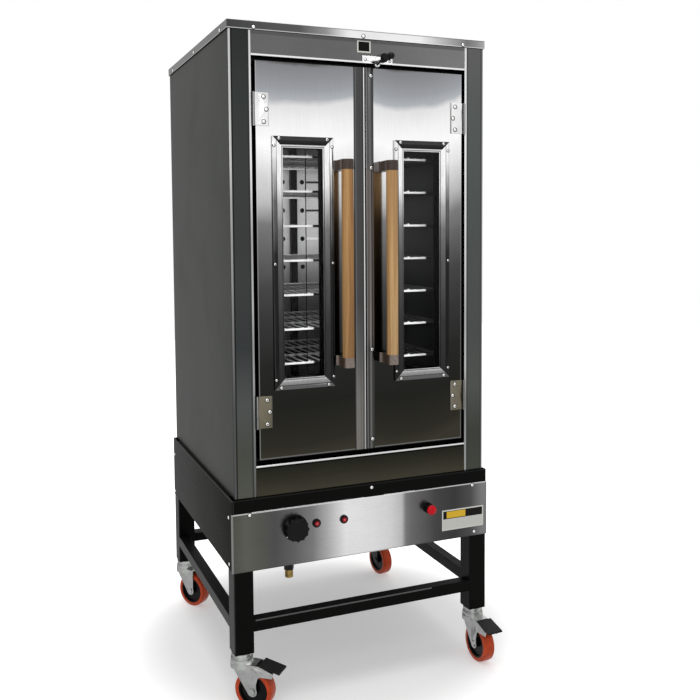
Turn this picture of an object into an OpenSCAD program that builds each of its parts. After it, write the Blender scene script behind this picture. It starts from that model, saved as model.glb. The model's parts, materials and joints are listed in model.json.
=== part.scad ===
// Two-door gas convection oven on a wheeled stand.
// Every piece is drawn with x across the front from the middle, y back from the
// cabinet's front face and z up from the floor. at_centre() then moves it back
// so that the origin lies on the floor, under the middle of the whole object.

/* [Cabinet] */
// Outer width of the cabinet
cab_w = 700; // [640:10:800]
// Outer depth of the cabinet
cab_d = 700; // [640:10:900]
// Height of the cabinet's sheet sides
cab_h = 1158; // [1150:2:1300]
// Thickness of the cabinet's sheet
sheet_t = 1.5; // [1:0.1:2]
// Width of the strip on each side of the doors
strip_w = 56; // [50:1:66]
// Depth of the folded returns behind the front face
return_d = 40; // [38:1:48]
// Height of the header panel above the doors
header_h = 79; // [76:1:90]
// Height of the fixed panel below the doors
kick_h = 78; // [60:1:90]
// Width of the flanges at the back of the sides
back_flange = 20; // [14:1:30]
// Space between the cavity and the back of the cabinet
cav_back = 60; // [58:1:80]
// Number of cooling slots in the back sheet
slot_count = 6; // [3:1:8]
// Length of a cooling slot
slot_l = 120; // [80:5:160]
// Height of a cooling slot
slot_h = 6; // [4:0.5:10]
// Distance between cooling slots
slot_pitch = 20; // [16:1:26]

/* [Lid] */
// How far the lid stands out from the cabinet on each side
lid_over = 3; // [2.5:0.1:5]
// Height of the lid's folded skirt, with its top sheet
lid_skirt = 21; // [18:1:26]

/* [Small screws] */
// Diameter of the small screw and rivet heads
head_d = 9; // [7:0.5:10]
// Height of the small screw and rivet heads
head_h = 2.5; // [1.5:0.1:3]
// Diameter of the small screw shanks
shank_d = 4; // [3:0.1:5]
// Length of the small screw shanks
shank_l = 7; // [6:0.5:9]
// Distance of the end screws of the lid from its corners
lid_screw_in = 63; // [40:1:90]
// Height of the lid's screws above the edge of its skirt
lid_screw_up = 6.5; // [5.5:0.5:9]

/* [Doors] */
// Thickness of a door
door_t = 34; // [30:1:36]
// Thickness of the door's sheet
door_sheet = 1.2; // [0.8:0.1:1.5]
// Gap between a door and the strip beside it
door_gap_side = 10; // [9:0.5:12]
// Gap between the doors and the header
door_gap_top = 11.5; // [8:0.5:14]
// Gap between the doors and the panel below
door_gap_low = 14; // [12:1:20]
// Gap between the two doors
door_gap_mid = 4; // [3:0.5:6]
// How far the meeting line lies to the right of the middle
door_mid_x = 4; // [0:0.5:6]

/* [Windows] */
// Width of a window opening
win_w = 105; // [90:1:110]
// Height of a window opening
win_h = 570; // [500:5:600]
// Distance of a window's middle from the cabinet's middle
win_x = 164.5; // [160:0.5:170]
// Height of a window opening above the door's bottom
win_up = 199; // [180:1:210]
// Width of the trim around a window
trim_w = 27.5; // [22:0.5:29]
// How far the trim stands out from the door
trim_t = 6; // [4:0.5:8]
// Height of the trim's thin inner edge
trim_lip = 2; // [1:0.1:3]
// Width of the trim's flat outer band
trim_flat = 11; // [10:0.5:14]
// Thickness of a window pane
pane_t = 4; // [3:0.5:5]
// How far the panes reach past the opening
pane_grip = 12; // [8:1:14]
// Distance of a trim rivet from the trim's outer corner, across
trim_rivet_x = 17; // [14:0.5:20]
// Distance of a trim rivet from the trim's outer corner, up
trim_rivet_z = 5.5; // [5:0.5:8]
// Distance of a side rivet from the trim's outer edge
side_rivet_in = 4; // [3.5:0.5:6]
// Distance of the lowest side rivets below the opening
side_rivet_low = 2; // [-4:0.5:8]
// Distance of the highest side rivets above the opening
side_rivet_high = 4; // [-4:0.5:8]
// Diameter of a side rivet's head
side_rivet_d = 6; // [5:0.5:7]
// Height of a side rivet's head
side_rivet_h = 1.5; // [1:0.1:2]
// Diameter of a corner rivet's head
trim_rivet_d = 8; // [7:0.5:9]
// How far the trim's rivets reach behind the trim
trim_rivet_l = 4; // [3:0.5:6]

/* [Meeting strips] */
// Width of the strip on the left door
meet_w_left = 29; // [24:1:34]
// Width of the strip on the right door
meet_w_right = 21; // [18:1:24]
// Thickness of the meeting strips
meet_t = 2; // [1.5:0.1:3]
// Distance of the right strip's rivets from its inner edge
meet_rivet_in = 14; // [8:0.5:16]
// Heights of the right strip's rivets above the door's bottom
meet_rivets = [24, 258, 724, 956];

/* [Handles] */
// Distance of the left handle's axis from the cabinet's middle
grip_left_x = 65; // [60:0.5:68]
// Distance of the right handle's axis from the cabinet's middle
grip_right_x = 56.5; // [54:0.5:60]
// Distance of a handle's axis in front of the doors
grip_out = 48; // [34:1:52]
// Diameter of the wooden grip
grip_d = 30; // [26:1:34]
// Length of the wooden grip
grip_len = 467; // [400:5:480]
// Height of the grip's lower end above the door's bottom
grip_up = 249; // [220:1:260]
// Height of the metal bracket at each end of the grip
bracket_h = 25; // [20:1:30]
// Diameter of the metal bracket's round end
bracket_d = 31; // [31:0.5:34]
// Width of the bracket's arm at the door
bracket_arm = 22; // [16:1:28]
// Diameter of the tenon that holds the grip in its bracket
tenon_d = 12; // [8:1:16]
// Length of the tenon
tenon_l = 10; // [8:0.5:14]
// Gap left at the end of the tenon
tenon_gap = 0.5; // [0.2:0.1:1]
// Thickness of the bracket's foot on the door
foot_h = 4; // [3:0.5:6]
// How far the bracket's foot reaches past its arm
foot_out = 5; // [3:0.5:8]

/* [Hinges] */
// Height of a hinge
hinge_h = 80; // [70:1:90]
// Distance of the upper hinge's middle from the door's upper end
hinge_in = 116; // [100:1:130]
// Distance of the lower hinge's middle from the door's lower end
hinge_low_in = 119; // [100:1:130]
// Diameter of the hinge knuckles
knuckle_d = 8; // [7:0.5:9]
// Diameter of the hinge pins
hinge_pin_d = 4; // [3:0.5:5]
// Thickness of the hinge leaves
leaf_t = 2; // [1.5:0.1:2.5]
// How far the pin's axis lies in front of the doors
hinge_out = 3; // [2.5:0.1:4]
// Distance of the pin's axis from the strip's edge
hinge_side = 3.8; // [3.5:0.1:4.5]
// Reach of the leaf on the door, from the pin's axis
leaf_reach = 39.5; // [36:0.5:42]
// Depth of the leaf on the cabinet, behind the front face
leaf_back = 26; // [20:1:30]
// Distance between the screws of a leaf, up and down
leaf_screw_pitch = 30; // [26:1:32]
// Distance of the upper and lower screws of a door's leaf from the pin's axis
leaf_screw_in = 26.2; // [22:0.1:28]
// Distance of the middle screw of a door's leaf from the pin's axis
leaf_screw_out = 32.7; // [30:0.1:34]
// Distance of the screws of the cabinet's leaf from its rear edge
leaf_screw_edge = 10; // [8:0.5:14]
// Diameter of the heads of the screws of the cabinet's leaf
leaf_head_d = 7; // [6:0.5:8]
// Height of the heads of the hinges' screws
leaf_head_h = 2; // [1:0.1:2.5]
// Gap between two knuckles of a hinge
knuckle_gap = 0.4; // [0.3:0.1:0.6]
// Play round the knuckles of the other leaf
knuckle_play = 0.6; // [0.5:0.1:1]
// Radial clearance of each pin and shaft in its hole
fit_gap = 0.05; // [0.03:0.01:0.1]

/* [Latch] */
// Distance of the latch plate's left end to the right of the middle
latch_x = -2.5; // [-6:0.5:2]
// Length of the latch plate
latch_w = 83.5; // [78:0.5:90]
// Height of the latch plate
latch_h = 18.5; // [17:0.5:22]
// Thickness of the latch plate
latch_t = 2; // [1.5:0.1:3]
// Distance of the latch's pivot from the plate's left end
latch_pivot_x = 54.5; // [50:0.5:60]
// Height of the latch's pivot above the header's lower edge
latch_pivot_z = 14; // [12:0.5:16]
// Diameter of the latch's pivot pin
latch_pin_d = 8; // [6:0.5:9]
// Diameter of the latch's turning barrel
barrel_d = 23; // [20:0.5:25]
// Length of the latch's turning barrel
barrel_l = 14; // [12:0.5:18]
// Diameter of the ball on the latch lever
ball_d = 18; // [16:0.5:20]
// Distance of the ball's middle from the pivot
ball_r = 22; // [21.5:0.5:30]
// Distance of the hook's middle from the pivot
hook_r = 26; // [20:0.5:26.5]
// Diameter of the hook
hook_d = 14; // [12:0.5:15]
// Wall of the hook
hook_wall = 3.5; // [3:0.5:5]
// Angle of the ball above the level
ball_a = 20; // [10:1:30]
// Angle of the hook, from the right round past the top
hook_a = 222; // [210:1:230]
// Half the thickness of the latch's arms
latch_arm = 3; // [2.5:0.1:4]
// Gap between the ball and the latch plate
ball_gap = 1; // [0.5:0.1:2]
// Gap between the barrel and the latch plate
barrel_gap = 0.3; // [0.2:0.1:0.6]
// Diameter of the cap on the pivot pin
pin_cap_d = 13; // [12:0.5:16]
// Thickness of the cap on the pivot pin
pin_cap_t = 2.5; // [1.5:0.1:3]
// Gap between the barrel and that cap
pin_cap_gap = 0.5; // [0.3:0.1:1]
// Distance of the plate's rivets from its ends
latch_rivet_in = 7.5; // [6:0.5:9]
// Diameter of the heads of the plate's rivets
latch_rivet_d = 6; // [5:0.5:7]
// Height of the heads of the plate's rivets
latch_rivet_h = 1.5; // [1:0.1:2]

/* [Plates] */
// Width of the blank plate on the header
badge_w = 37; // [28:1:42]
// Height of the blank plate on the header
badge_h = 29; // [22:1:32]
// How far that plate sits above the middle of the free part of the header
badge_rise = 1.5; // [0:0.1:2]
// Thickness of the blank plates
badge_t = 0.8; // [0.5:0.1:1.5]
// Distance of the header's plate from the cabinet's middle
badge_x = 2; // [0:0.5:4]
// Width of the blank plate on the control panel
label_w = 128; // [110:1:130]
// Height of the blank plate on the control panel
label_h = 56; // [50:1:62]
// Distance of that plate's middle from the cabinet's middle
label_x = 285; // [280:1:290]
// Distance of that plate's middle below the panel's top
label_down = 93.5; // [90:0.5:100]

/* [Stand] */
// How far the stand reaches past the cabinet on each side
stand_over = 7; // [6:0.5:12]
// Width of the square legs
leg_w = 50; // [44:1:56]
// Wall of the legs
leg_wall = 2.5; // [2:0.1:3.5]
// Length of the legs
leg_h = 390; // [360:5:460]
// Height of the tubes under the cabinet
top_rail = 34; // [30:1:40]
// Width of the tubes under the cabinet
top_rail_w = 30; // [24:1:36]
// Size of the square lower rails
low_rail = 30; // [24:1:36]
// Wall of the rails
rail_wall = 2; // [1.5:0.1:3]
// Height of the lower rails above the legs' feet
low_rail_up = 54; // [40:1:80]
// Thickness of the plates that close the legs' feet
foot_t = 6; // [5:0.5:8]
// Gap left for the weld between two tubes
weld_gap = 0.1; // [0.05:0.01:0.2]
// Distance of the base panels' screws behind the middle of the legs
base_screw_y = 9; // [0:1:12]
// Distance of the base panels' upper screws below the panel's top
base_screw_top = 16; // [10:1:24]
// Distance of the base panels' lower screws above the panel's lower edge
base_screw_low = 13; // [10:1:24]

/* [Control panel] */
// Height of the control panel and the base's side panels
panel_h = 147; // [130:1:160]
// Thickness of the control panel and the base's side panels
panel_t = 1.5; // [1:0.1:2]
// Depth of the control panel's folded ends
panel_return = 8; // [6:0.5:14]
// Distance of the control panel's upper screws from its ends
panel_screw_in = 42.5; // [30:0.5:60]
// Distance of the control panel's upper screws below its top
panel_screw_top = 6; // [5:0.5:10]
// Distance of the control panel's lower screw from its right end
panel_screw_side = 36.5; // [30:0.5:60]
// Height of the control panel's lower screw above its lower edge
panel_screw_low = 11; // [6:0.5:16]
// Distance of the knob from the cabinet's middle
knob_x = 198; // [190:1:210]
// Height of the knob above the panel's lower edge
knob_up = 95; // [88:1:100]
// Diameter of the knob
knob_d = 65; // [56:1:70]
// Depth of the knob
knob_l = 25; // [20:1:30]
// Gap between the knob and the panel
knob_gap = 1.5; // [0.6:0.1:3]
// Number of grip lobes round the knob
knob_lobes = 12; // [8:1:16]
// Diameter of a grip lobe
lobe_d = 7; // [5:0.5:9]
// Distance of the grip's round core inside the knob's skirt
knob_step = 5; // [4:0.5:8]
// Height of the knob's skirt
skirt_h = 5; // [3:0.5:8]
// Thickness of the knob's face over the spindle
knob_face = 6; // [4:0.5:8]
// Diameter of the thermostat's spindle
spindle_d = 8; // [6:0.5:10]
// Gap between the spindle's end and the knob
spindle_gap = 2; // [1:0.5:4]
// Play round the spindle in the panel's hole
spindle_play = 1; // [0.5:0.1:2]
// Size of the gas thermostat behind the panel
valve_w = 40; // [34:1:44]
// Depth of the gas thermostat behind the panel
valve_l = 66; // [64:1:80]
// Distance of the left lamp from the cabinet's middle
lamp_x = 140; // [130:1:144]
// Distance between the two lamps
lamp_pitch = 75; // [60:1:80]
// Height of the lamps above the panel's lower edge
lamp_up = 98; // [90:1:104]
// Diameter of a lamp's bezel
lamp_d = 22; // [18:0.5:25]
// Diameter of a lamp's lens
lens_d = 14; // [10:0.5:16]
// Wall of a lamp's neck round its lens
lens_wall = 1; // [0.8:0.1:1.5]
// Thickness of a bezel's outer rim
bezel_t = 3; // [2:0.1:4]
// Height of a bezel's raised middle
bezel_h = 5; // [4:0.1:7]
// Width of a bezel's outer rim
bezel_rim = 2; // [1.5:0.1:3]
// How far a lamp's lens stands out of its bezel
lens_out = 1; // [0.5:0.1:2]
// Length of a lamp's neck behind the panel's face
lamp_neck = 14; // [10:1:18]
// Distance of the push button from the cabinet's middle
button_x = 178; // [170:1:190]
// Height of the push button above the panel's lower edge
button_up = 96; // [90:1:102]
// Diameter of the push button's collar
collar_d = 24; // [20:0.5:26]
// How far the push button's collar stands out
collar_l = 17; // [12:0.5:20]
// Diameter of the push button's cap
cap_d = 26; // [22:0.5:28]
// Height of the push button's cap
cap_h = 11; // [8:0.5:14]
// Travel of the push button
button_travel = 4; // [3:0.5:5]
// Diameter of the push button's stem
stem_d = 10; // [8:0.5:12]
// Length of the push button's stem in its collar
stem_l = 15; // [12:1:17]
// Wall of the push button's collar behind the panel
collar_wall = 3; // [2:0.5:4]
// Length of the push button's collar behind the panel's face
collar_neck = 20; // [16:1:26]
// Width of the flange at the foot of the push button's collar
collar_rim = 2; // [1.5:0.1:3]
// Thickness of that flange
collar_rim_t = 3; // [2:0.5:4]

/* [Gas inlet] */
// Distance of the gas inlet from the cabinet's middle
gas_x = 197; // [192:1:202]
// Distance of the gas inlet behind the cabinet's front face
gas_y = 45; // [42:1:48]
// Diameter of the threaded gas inlet
gas_d = 21; // [18:0.1:26]
// Bore of the gas inlet
gas_bore = 13; // [10:0.5:15]
// Length of the threaded gas inlet
gas_l = 20; // [16:1:30]
// Height of the union nut above the gas inlet
nut_h = 22; // [16:1:26]
// Width of the union nut across its corners
nut_d = 27; // [26:0.5:32]
// Distance of the nut's top below the panel's lower edge
nut_down = 9; // [4:0.5:14]
// Wall of the pipe above the nut
pipe_wall = 1.5; // [1:0.1:2]
// How far the pipe reaches into the thermostat
pipe_in = 9; // [6:0.5:12]
// Depth of the thermostat's socket past the pipe's end
socket_gap = 1; // [0.5:0.1:2]

/* [Casters] */
// Height of a caster from the floor to the leg
caster_h = 140; // [136:1:150]
// Diameter of a wheel
wheel_d = 100; // [90:1:104]
// Width of a wheel
wheel_w = 32; // [28:1:33]
// Radial thickness of the tyre
tyre_t = 11; // [8:0.5:14]
// Distance of the axle behind the swivel axis
trail = 36; // [30:1:40]
// Thickness of the fork's plates
fork_t = 3; // [2.5:0.1:4]
// Gap between the wheel and the fork on each side
wheel_side_gap = 1.5; // [1.2:0.1:3]
// Diameter of the swivel head
head_ring_d = 54; // [44:1:56]
// Diameter of the kingpin
kingpin_d = 12; // [10:0.5:14]
// Diameter of the wheel's axle
axle_d = 10; // [8:0.5:12]
// Diameter of the stud in the leg
stud_d = 12; // [10:0.5:16]
// Length of the stud in the leg
stud_l = 34; // [24:1:50]
// Gap between the two halves of the swivel head
swivel_gap = 0.4; // [0.3:0.1:1]
// Distance of the fork's top below the leg
fork_down = 24; // [22:0.5:28]
// Height of the fork's raised ring
fork_ring = 10; // [8:0.5:12]
// Height of the skirt under the fork's ring
fork_skirt = 12; // [10:0.5:14]
// Reach of the fork's plates in front of the swivel axis
fork_head = 16; // [14:0.5:20]
// Reach of the fork's top plate behind the axle
fork_tail = 8; // [6:0.5:12]
// Reach of a braked fork's plates behind the axle, at their top
brake_tail = 18; // [16:0.5:20]
// Step between the rings of the swivel head
ring_step = 1; // [0.5:0.1:1.5]
// Radius of the fork's plates round the axle
fork_eye = 13; // [12:0.5:16]
// Thickness of the fixed head's lower disc
stem_low = 3; // [2:0.5:4]
// Thickness of the fixed head's plate under the leg
stem_top = 4; // [3:0.5:5]
// Thickness of the kingpin's lower head
kingpin_head = 4.6; // [3:0.1:6]
// How far the kingpin's lower head stands out round it
kingpin_rim = 4; // [3:0.5:5]
// Width of the axle's nuts across their corners
nut_w = 17; // [15:0.5:20]
// Thickness of the axle's nuts
nut_t = 3; // [2.5:0.5:5]
// Length of a hub's boss past the tyre on each side
boss_out = 1; // [0.5:0.1:1.2]
// Wall of a hub's boss round the axle
boss_wall = 6; // [4:0.5:8]
// Depth of the recess in a hub's side
hub_recess = 6; // [3:0.5:8]
// Width of a hub's rim beside the tyre
hub_rim = 4; // [3:0.5:6]
// Depth of a hub's rim inside the tyre's side
hub_rim_in = 1; // [0.5:0.1:2]
// Bevel at a tyre's edge
tyre_bevel = 3; // [2:0.5:4]
// Headings of the trailing wheels: front left, front right, rear left, rear right
headings = [-42, -87, -55, -82];
// Reach of the brake pedal from the swivel axis
pedal_reach = 111; // [106:1:120]
// Width of the brake pedal
pedal_w = 44; // [40:1:50]
// Thickness of the brake pedal
pedal_t = 4; // [3:0.5:5]
// Diameter of the brake pedal's pivot
pedal_pin_d = 6; // [5:0.5:8]
// Distance of the pedal's pivot behind the swivel axis
pedal_px = 45; // [44:0.5:46]
// Height of the pedal's pivot above the floor
pedal_pz = 106; // [105:0.5:107]
// How far the pedal's pivot stands out of the fork
pedal_pin_out = 1.5; // [1:0.1:2.5]
// Gap between the pedal's web and the fork
web_gap = 1; // [0.5:0.1:2]
// Distance of the pedal's near edge from the swivel axis
pedal_near = 56; // [55:0.5:58]
// Height of the pedal's near edge above the floor
pedal_z = 121; // [120:0.5:123]
// Fall of the pedal from its near to its far edge
pedal_fall = 12.5; // [10:0.5:13]

/* [Oven cavity] */
// Inner width of the cavity
cav_w = 544; // [520:2:548]
// Height of the cavity's floor above the bottom of the doors
cav_up = 13; // [12:1:16]
// Distance of the cavity's ceiling below the top of the doors
cav_down = 13.5; // [12:0.5:16]
// Thickness of the cavity's sheet
liner_t = 1.2; // [0.8:0.1:1.5]
// Width of the door gasket
gasket_w = 8; // [6:0.5:8]
// Gap between the gasket and the closed doors
gasket_gap = 0.3; // [0.2:0.1:1]
// Distance of the gasket's outer edge inside the doors' edges
gasket_in = 2; // [1:0.5:3]

/* [Air circulation] */
// Distance of the air baffle in front of the cavity's back wall
baffle_in = 80; // [78:1:90]
// Diameter of the air outlets in the baffle
outlet_d = 15; // [10:1:18]
// Distance between the columns of air outlets
outlet_pitch = 64; // [60:1:66]
// Distance of the air outlets below the shelf beside them
outlet_down = 38; // [30:1:44]
// Number of columns of air outlets on each side
outlet_cols = 4; // [2:1:4]
// Distance of the fan's axis below the cavity's ceiling
fan_down = 80; // [78:1:90]
// Diameter of the fan wheel
fan_d = 140; // [110:2:150]
// Width of the fan wheel's blades
fan_w = 40; // [30:1:44]
// Gap between the fan wheel and the cavity's back wall
fan_gap = 12; // [8:0.5:14]
// Thickness of the fan wheel's back plate
fan_plate = 2; // [1.5:0.1:3]
// Diameter of the fan wheel's hub
fan_hub_d = 24; // [20:1:30]
// Length of the fan wheel's hub
fan_hub_l = 24; // [18:1:30]
// Depth of a blade, along the wheel's plate
blade_w = 24; // [18:1:28]
// Distance of a blade's inner edge inside the wheel's rim
blade_in = 26; // [20:1:30]
// Thickness of a blade
blade_t = 1.5; // [1:0.1:2]
// Angle by which the blades lean back
blade_a = 35; // [20:1:45]
// Play round the shaft in the cavity's back wall
shaft_play = 2; // [1:0.5:4]
// Number of fan blades
fan_blades = 12; // [8:1:16]
// Diameter of the baffle's air intake
intake_d = 110; // [80:2:116]
// Diameter of the fan's shaft
shaft_d = 10; // [8:0.5:12]
// Diameter of the fan motor
motor_d = 96; // [80:2:110]
// Length of the fan motor
motor_l = 50; // [40:1:54]
// Thickness of the motor's rear cover over the shaft's bore
motor_cover = 10; // [8:0.5:14]
// Gap between the shaft's end and the bottom of its bore
shaft_end_gap = 2; // [1:0.5:4]

/* [Racks] */
// Number of shelves
shelf_count = 7; // [7:1:7]
// Height of the lowest shelf above the door's bottom
shelf_up = 222; // [200:1:230]
// Distance between shelves
shelf_pitch = 88.8; // [80:0.1:92]
// Diameter of a shelf's edge rods
rod_d = 6; // [5:0.5:8]
// Diameter of a shelf's side rods, thinner than the edge rods that they run into
side_rod_d = 5.5; // [4.5:0.5:6]
// Diameter of a shelf's wires
wire_d = 4; // [3:0.5:5]
// Number of wires on a shelf
wire_count = 20; // [12:1:22]
// Distance of a shelf's front rod behind the cavity's flange
shelf_in = 38; // [36:1:46]
// Distance of a shelf's back rod in front of the baffle
shelf_back = 42; // [38:1:60]
// Gap between a shelf's edge and the rack beside it
shelf_side_gap = 3; // [2:0.5:6]
// Gap under a shelf where it rests on its runners
shelf_gap = 0.3; // [0.2:0.1:0.5]
// Width of a runner's ledge
runner_w = 16; // [14:1:20]
// Height of a runner's upright wall
runner_h = 12; // [10:1:16]
// Thickness of the runners
runner_t = 1.5; // [1:0.1:2]
// Width of the uprights that carry the runners
upright_w = 20; // [16:1:30]
// Distance of the uprights from the runners' ends
upright_in = 40; // [30:1:60]
// Height of the uprights above the top shelf
upright_over = 60; // [40:1:80]
// How far the runners reach in front of a shelf
runner_front = 10; // [6:1:14]
// How far the runners reach behind a shelf
runner_back = 4; // [2:0.5:8]
// Width of the post in front of the baffle
post_w = 21; // [16:1:26]
// Depth of the post in front of the baffle
post_d = 14; // [10:1:16]
// Height of the post above the uprights
post_over = 60; // [30:1:80]

/* [Hidden] */
$fn = 48;
// A cut reaches this far past what it goes through
over = 1;

half_w = cab_w / 2;
strip_x = half_w - strip_w;
door_x = strip_x - door_gap_side;
leg_z = caster_h;
stand_z = leg_z + leg_h;
cab_top = stand_z + cab_h;
lid_top = cab_top + sheet_t;
header_z = cab_top - header_h;
kick_z = stand_z + kick_h;
door_z0 = kick_z + door_gap_low;
door_z1 = header_z - door_gap_top;
left_door_x1 = door_mid_x - door_gap_mid / 2;
right_door_x0 = door_mid_x + door_gap_mid / 2;
stand_x = half_w + stand_over;
leg_c = stand_x - leg_w / 2;
leg_front_y = leg_w / 2 - stand_over;
leg_back_y = cab_d + stand_over - leg_w / 2;
panel_z1 = stand_z - top_rail;
panel_z0 = panel_z1 - panel_h;
panel_back = -stand_over;
panel_face = panel_back - panel_t;
// The corner of the front right pedal is the object's front
front_reach = pedal_reach * sin(-headings[1]) + pedal_w / 2 * cos(headings[1]) - leg_front_y;
back_reach = cab_d + stand_over + panel_t;
centre_y = (back_reach - front_reach) / 2;

cav_x = cav_w / 2;
cav_z0 = door_z0 + cav_up;
cav_z1 = door_z1 - cav_down;
flange_y0 = return_d;
flange_y1 = return_d + liner_t;
cav_y1 = cab_d - cav_back;
baffle_y = cav_y1 - baffle_in;
fan_z = cav_z1 - fan_down;
win_z0 = door_z0 + win_up;
win_z1 = win_z0 + win_h;
win_zm = (win_z0 + win_z1) / 2;
trim_x = win_w / 2 + trim_w;

hinge_x = strip_x - hinge_side;
hinge_zs = [door_z0 + hinge_low_in, door_z1 - hinge_in];
latch_cx = latch_x + latch_pivot_x;
latch_cz = header_z + latch_pivot_z;
pin_bore_d = hinge_pin_d + 2 * fit_gap;
hinge_hole_y = leaf_back - leaf_screw_edge;
// Heights of the three knuckles from the hinge's middle
knuckle_z = [for (i = [0:2]) hinge_h / 3 * [i - 1.5, i - 0.5]];
// Screws of a door's leaf: distance from the pin's axis, and steps up from the hinge's middle
leaf_screws = [[leaf_screw_in, -1], [leaf_screw_out, 0], [leaf_screw_in, 1]];
bracket_zs = [door_z0 + grip_up - bracket_h / 2, door_z0 + grip_up + grip_len + bracket_h / 2];

lid_screw_z = lid_top - lid_skirt + lid_screw_up;
lid_screw_x = half_w - lid_screw_in;
lid_screw_ys = [lid_screw_in, cab_d / 2, cab_d - lid_screw_in];
base_screw_ys = [leg_front_y + base_screw_y, leg_back_y + base_screw_y];
base_screw_zs = [panel_z1 - base_screw_top, panel_z0 + base_screw_low];
base_screws = [for (y = base_screw_ys, z = base_screw_zs) [y, z]];
panel_screws = [[panel_screw_in - stand_x, panel_z1 - panel_screw_top],
    [stand_x - panel_screw_in, panel_z1 - panel_screw_top],
    [stand_x - panel_screw_side, panel_z0 + panel_screw_low]];
panel_cut = [panel_face - over, panel_back + over];
collar_neck_d = stem_d + 2 * collar_wall;
pipe_d = gas_bore + 2 * pipe_wall;
nut_z = panel_z0 - nut_down;

shelf_half = cav_x - runner_t * 2 - shelf_side_gap;
shelf_y0 = flange_y0 + shelf_in;
shelf_y1 = baffle_y - shelf_back;

fork_in = wheel_w / 2 + wheel_side_gap;
fork_out = fork_in + fork_t;
axle_z = wheel_d / 2;
fork_top = caster_h - fork_down;
ring_top = fork_top + fork_ring;
legs_at = [[-leg_c, leg_front_y], [leg_c, leg_front_y], [-leg_c, leg_back_y], [leg_c, leg_back_y]];

// Moves a piece from the cabinet's front face to the frame of the whole object
module at_centre() {
    translate([0, -centre_y, 0]) children();
}

// A block between two values on each axis
module block(x, y, z) {
    translate([x[0], y[0], z[0]]) cube([x[1] - x[0], y[1] - y[0], z[1] - z[0]]);
}

// A round bar along x, y or z, from one value to another
module bar_x(x, y, z, d) {
    translate([x[0], y, z]) rotate([0, 90, 0]) cylinder(d = d, h = x[1] - x[0]);
}
module bar_y(x, y, z, d) {
    translate([x, y[1], z]) rotate([90, 0, 0]) cylinder(d = d, h = y[1] - y[0]);
}
module bar_z(x, y, z, d) {
    translate([x, y, z[0]]) cylinder(d = d, h = z[1] - z[0]);
}

// The right half of the object is the left half mirrored where side is 1
module on_side(side) {
    if (side > 0) mirror([1, 0, 0]) children();
    else children();
}

// A plan outline raised between two heights
module raised(points, z) {
    translate([0, 0, z[0]]) linear_extrude(z[1] - z[0]) polygon(points);
}

// A profile given as [y, z] points and drawn out along x
module along_x(points, x) {
    translate([x[0], 0, 0]) rotate([90, 0, 90]) linear_extrude(x[1] - x[0]) polygon(points);
}

// A hollow tube along x, y or z inside a block
module tube(x, y, z, wall, axis) {
    inner = [axis == 0 ? over : -wall, axis == 1 ? over : -wall, axis == 2 ? over : -wall];
    difference() {
        block(x, y, z);
        block([x[0] - inner[0], x[1] + inner[0]], [y[0] - inner[1], y[1] + inner[1]],
            [z[0] - inner[2], z[1] + inner[2]]);
    }
}

// A domed screw whose head lies on a face at y and faces the front
module front_screw(x, y, z, d = head_d, h = head_h, l = shank_l) {
    translate([x, y, z]) rotate([90, 0, 0]) {
        screw_head(d, h);
        translate([0, 0, -l]) cylinder(d = shank_d, h = l + h / 2);
    }
}
module screw_head(d, h) {
    rotate_extrude() intersection() {
        dome_r = (pow(d / 2, 2) + h * h) / (2 * h);
        translate([0, h - dome_r]) circle(r = dome_r, $fn = 96);
        square([d / 2 + over, h + over]);
    }
}
module side_screw(x, y, z, l) {
    translate([x, y, z]) rotate([0, -90, 0]) {
        screw_head(head_d, head_h);
        translate([0, 0, -l]) cylinder(d = shank_d, h = l + head_h / 2);
    }
}
// The hole that such a screw goes through
module front_hole(x, y, z) {
    bar_y(x, y, z, shank_d + 2 * fit_gap);
}
module side_hole(x, y, z) {
    bar_x(x, y, z, shank_d + 2 * fit_gap);
}

/* Stand */

module leg(x, y) {
    difference() {
        block([x - leg_w / 2, x + leg_w / 2], [y - leg_w / 2, y + leg_w / 2], [leg_z, stand_z]);
        block([x - leg_w / 2 + leg_wall, x + leg_w / 2 - leg_wall],
            [y - leg_w / 2 + leg_wall, y + leg_w / 2 - leg_wall], [leg_z + foot_t, stand_z + over]);
        bar_z(x, y, [leg_z - over, leg_z + foot_t + over], stud_d + 2 * fit_gap);
    }
}

module stand_frame() {
    rail_x = leg_c - leg_w / 2 - weld_gap;
    y0 = -stand_over;
    y1 = cab_d + stand_over;
    side_y = [leg_front_y + leg_w / 2 + weld_gap, leg_back_y - leg_w / 2 - weld_gap];
    top_z = [stand_z - top_rail, stand_z];
    low_z = [leg_z + low_rail_up, leg_z + low_rail_up + low_rail];
    color([0.05, 0.05, 0.05]) at_centre() {
        for (p = legs_at) leg(p[0], p[1]);
        for (z = [[top_z, top_rail_w], [low_z, low_rail]]) {
            tube([-rail_x, rail_x], [y0, y0 + z[1]], z[0], rail_wall, 0);
            tube([-rail_x, rail_x], [y1 - z[1], y1], z[0], rail_wall, 0);
            tube([-stand_x, -stand_x + z[1]], side_y, z[0], rail_wall, 1);
            tube([stand_x - z[1], stand_x], side_y, z[0], rail_wall, 1);
        }
    }
}

module base_panels() {
    y0 = -stand_over;
    y1 = cab_d + stand_over;
    z = [panel_z0, stand_z];
    color([0.25, 0.25, 0.26]) at_centre() {
        for (side = [-1, 1]) on_side(side) difference() {
            block([-stand_x - panel_t, -stand_x], [y0, y1], z);
            for (p = base_screws) side_hole([-stand_x - panel_t - over, -stand_x + over], p[0], p[1]);
        }
        block([-stand_x, stand_x], [y1, y1 + panel_t], z);
    }
}

/* Control panel and its fittings */

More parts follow.
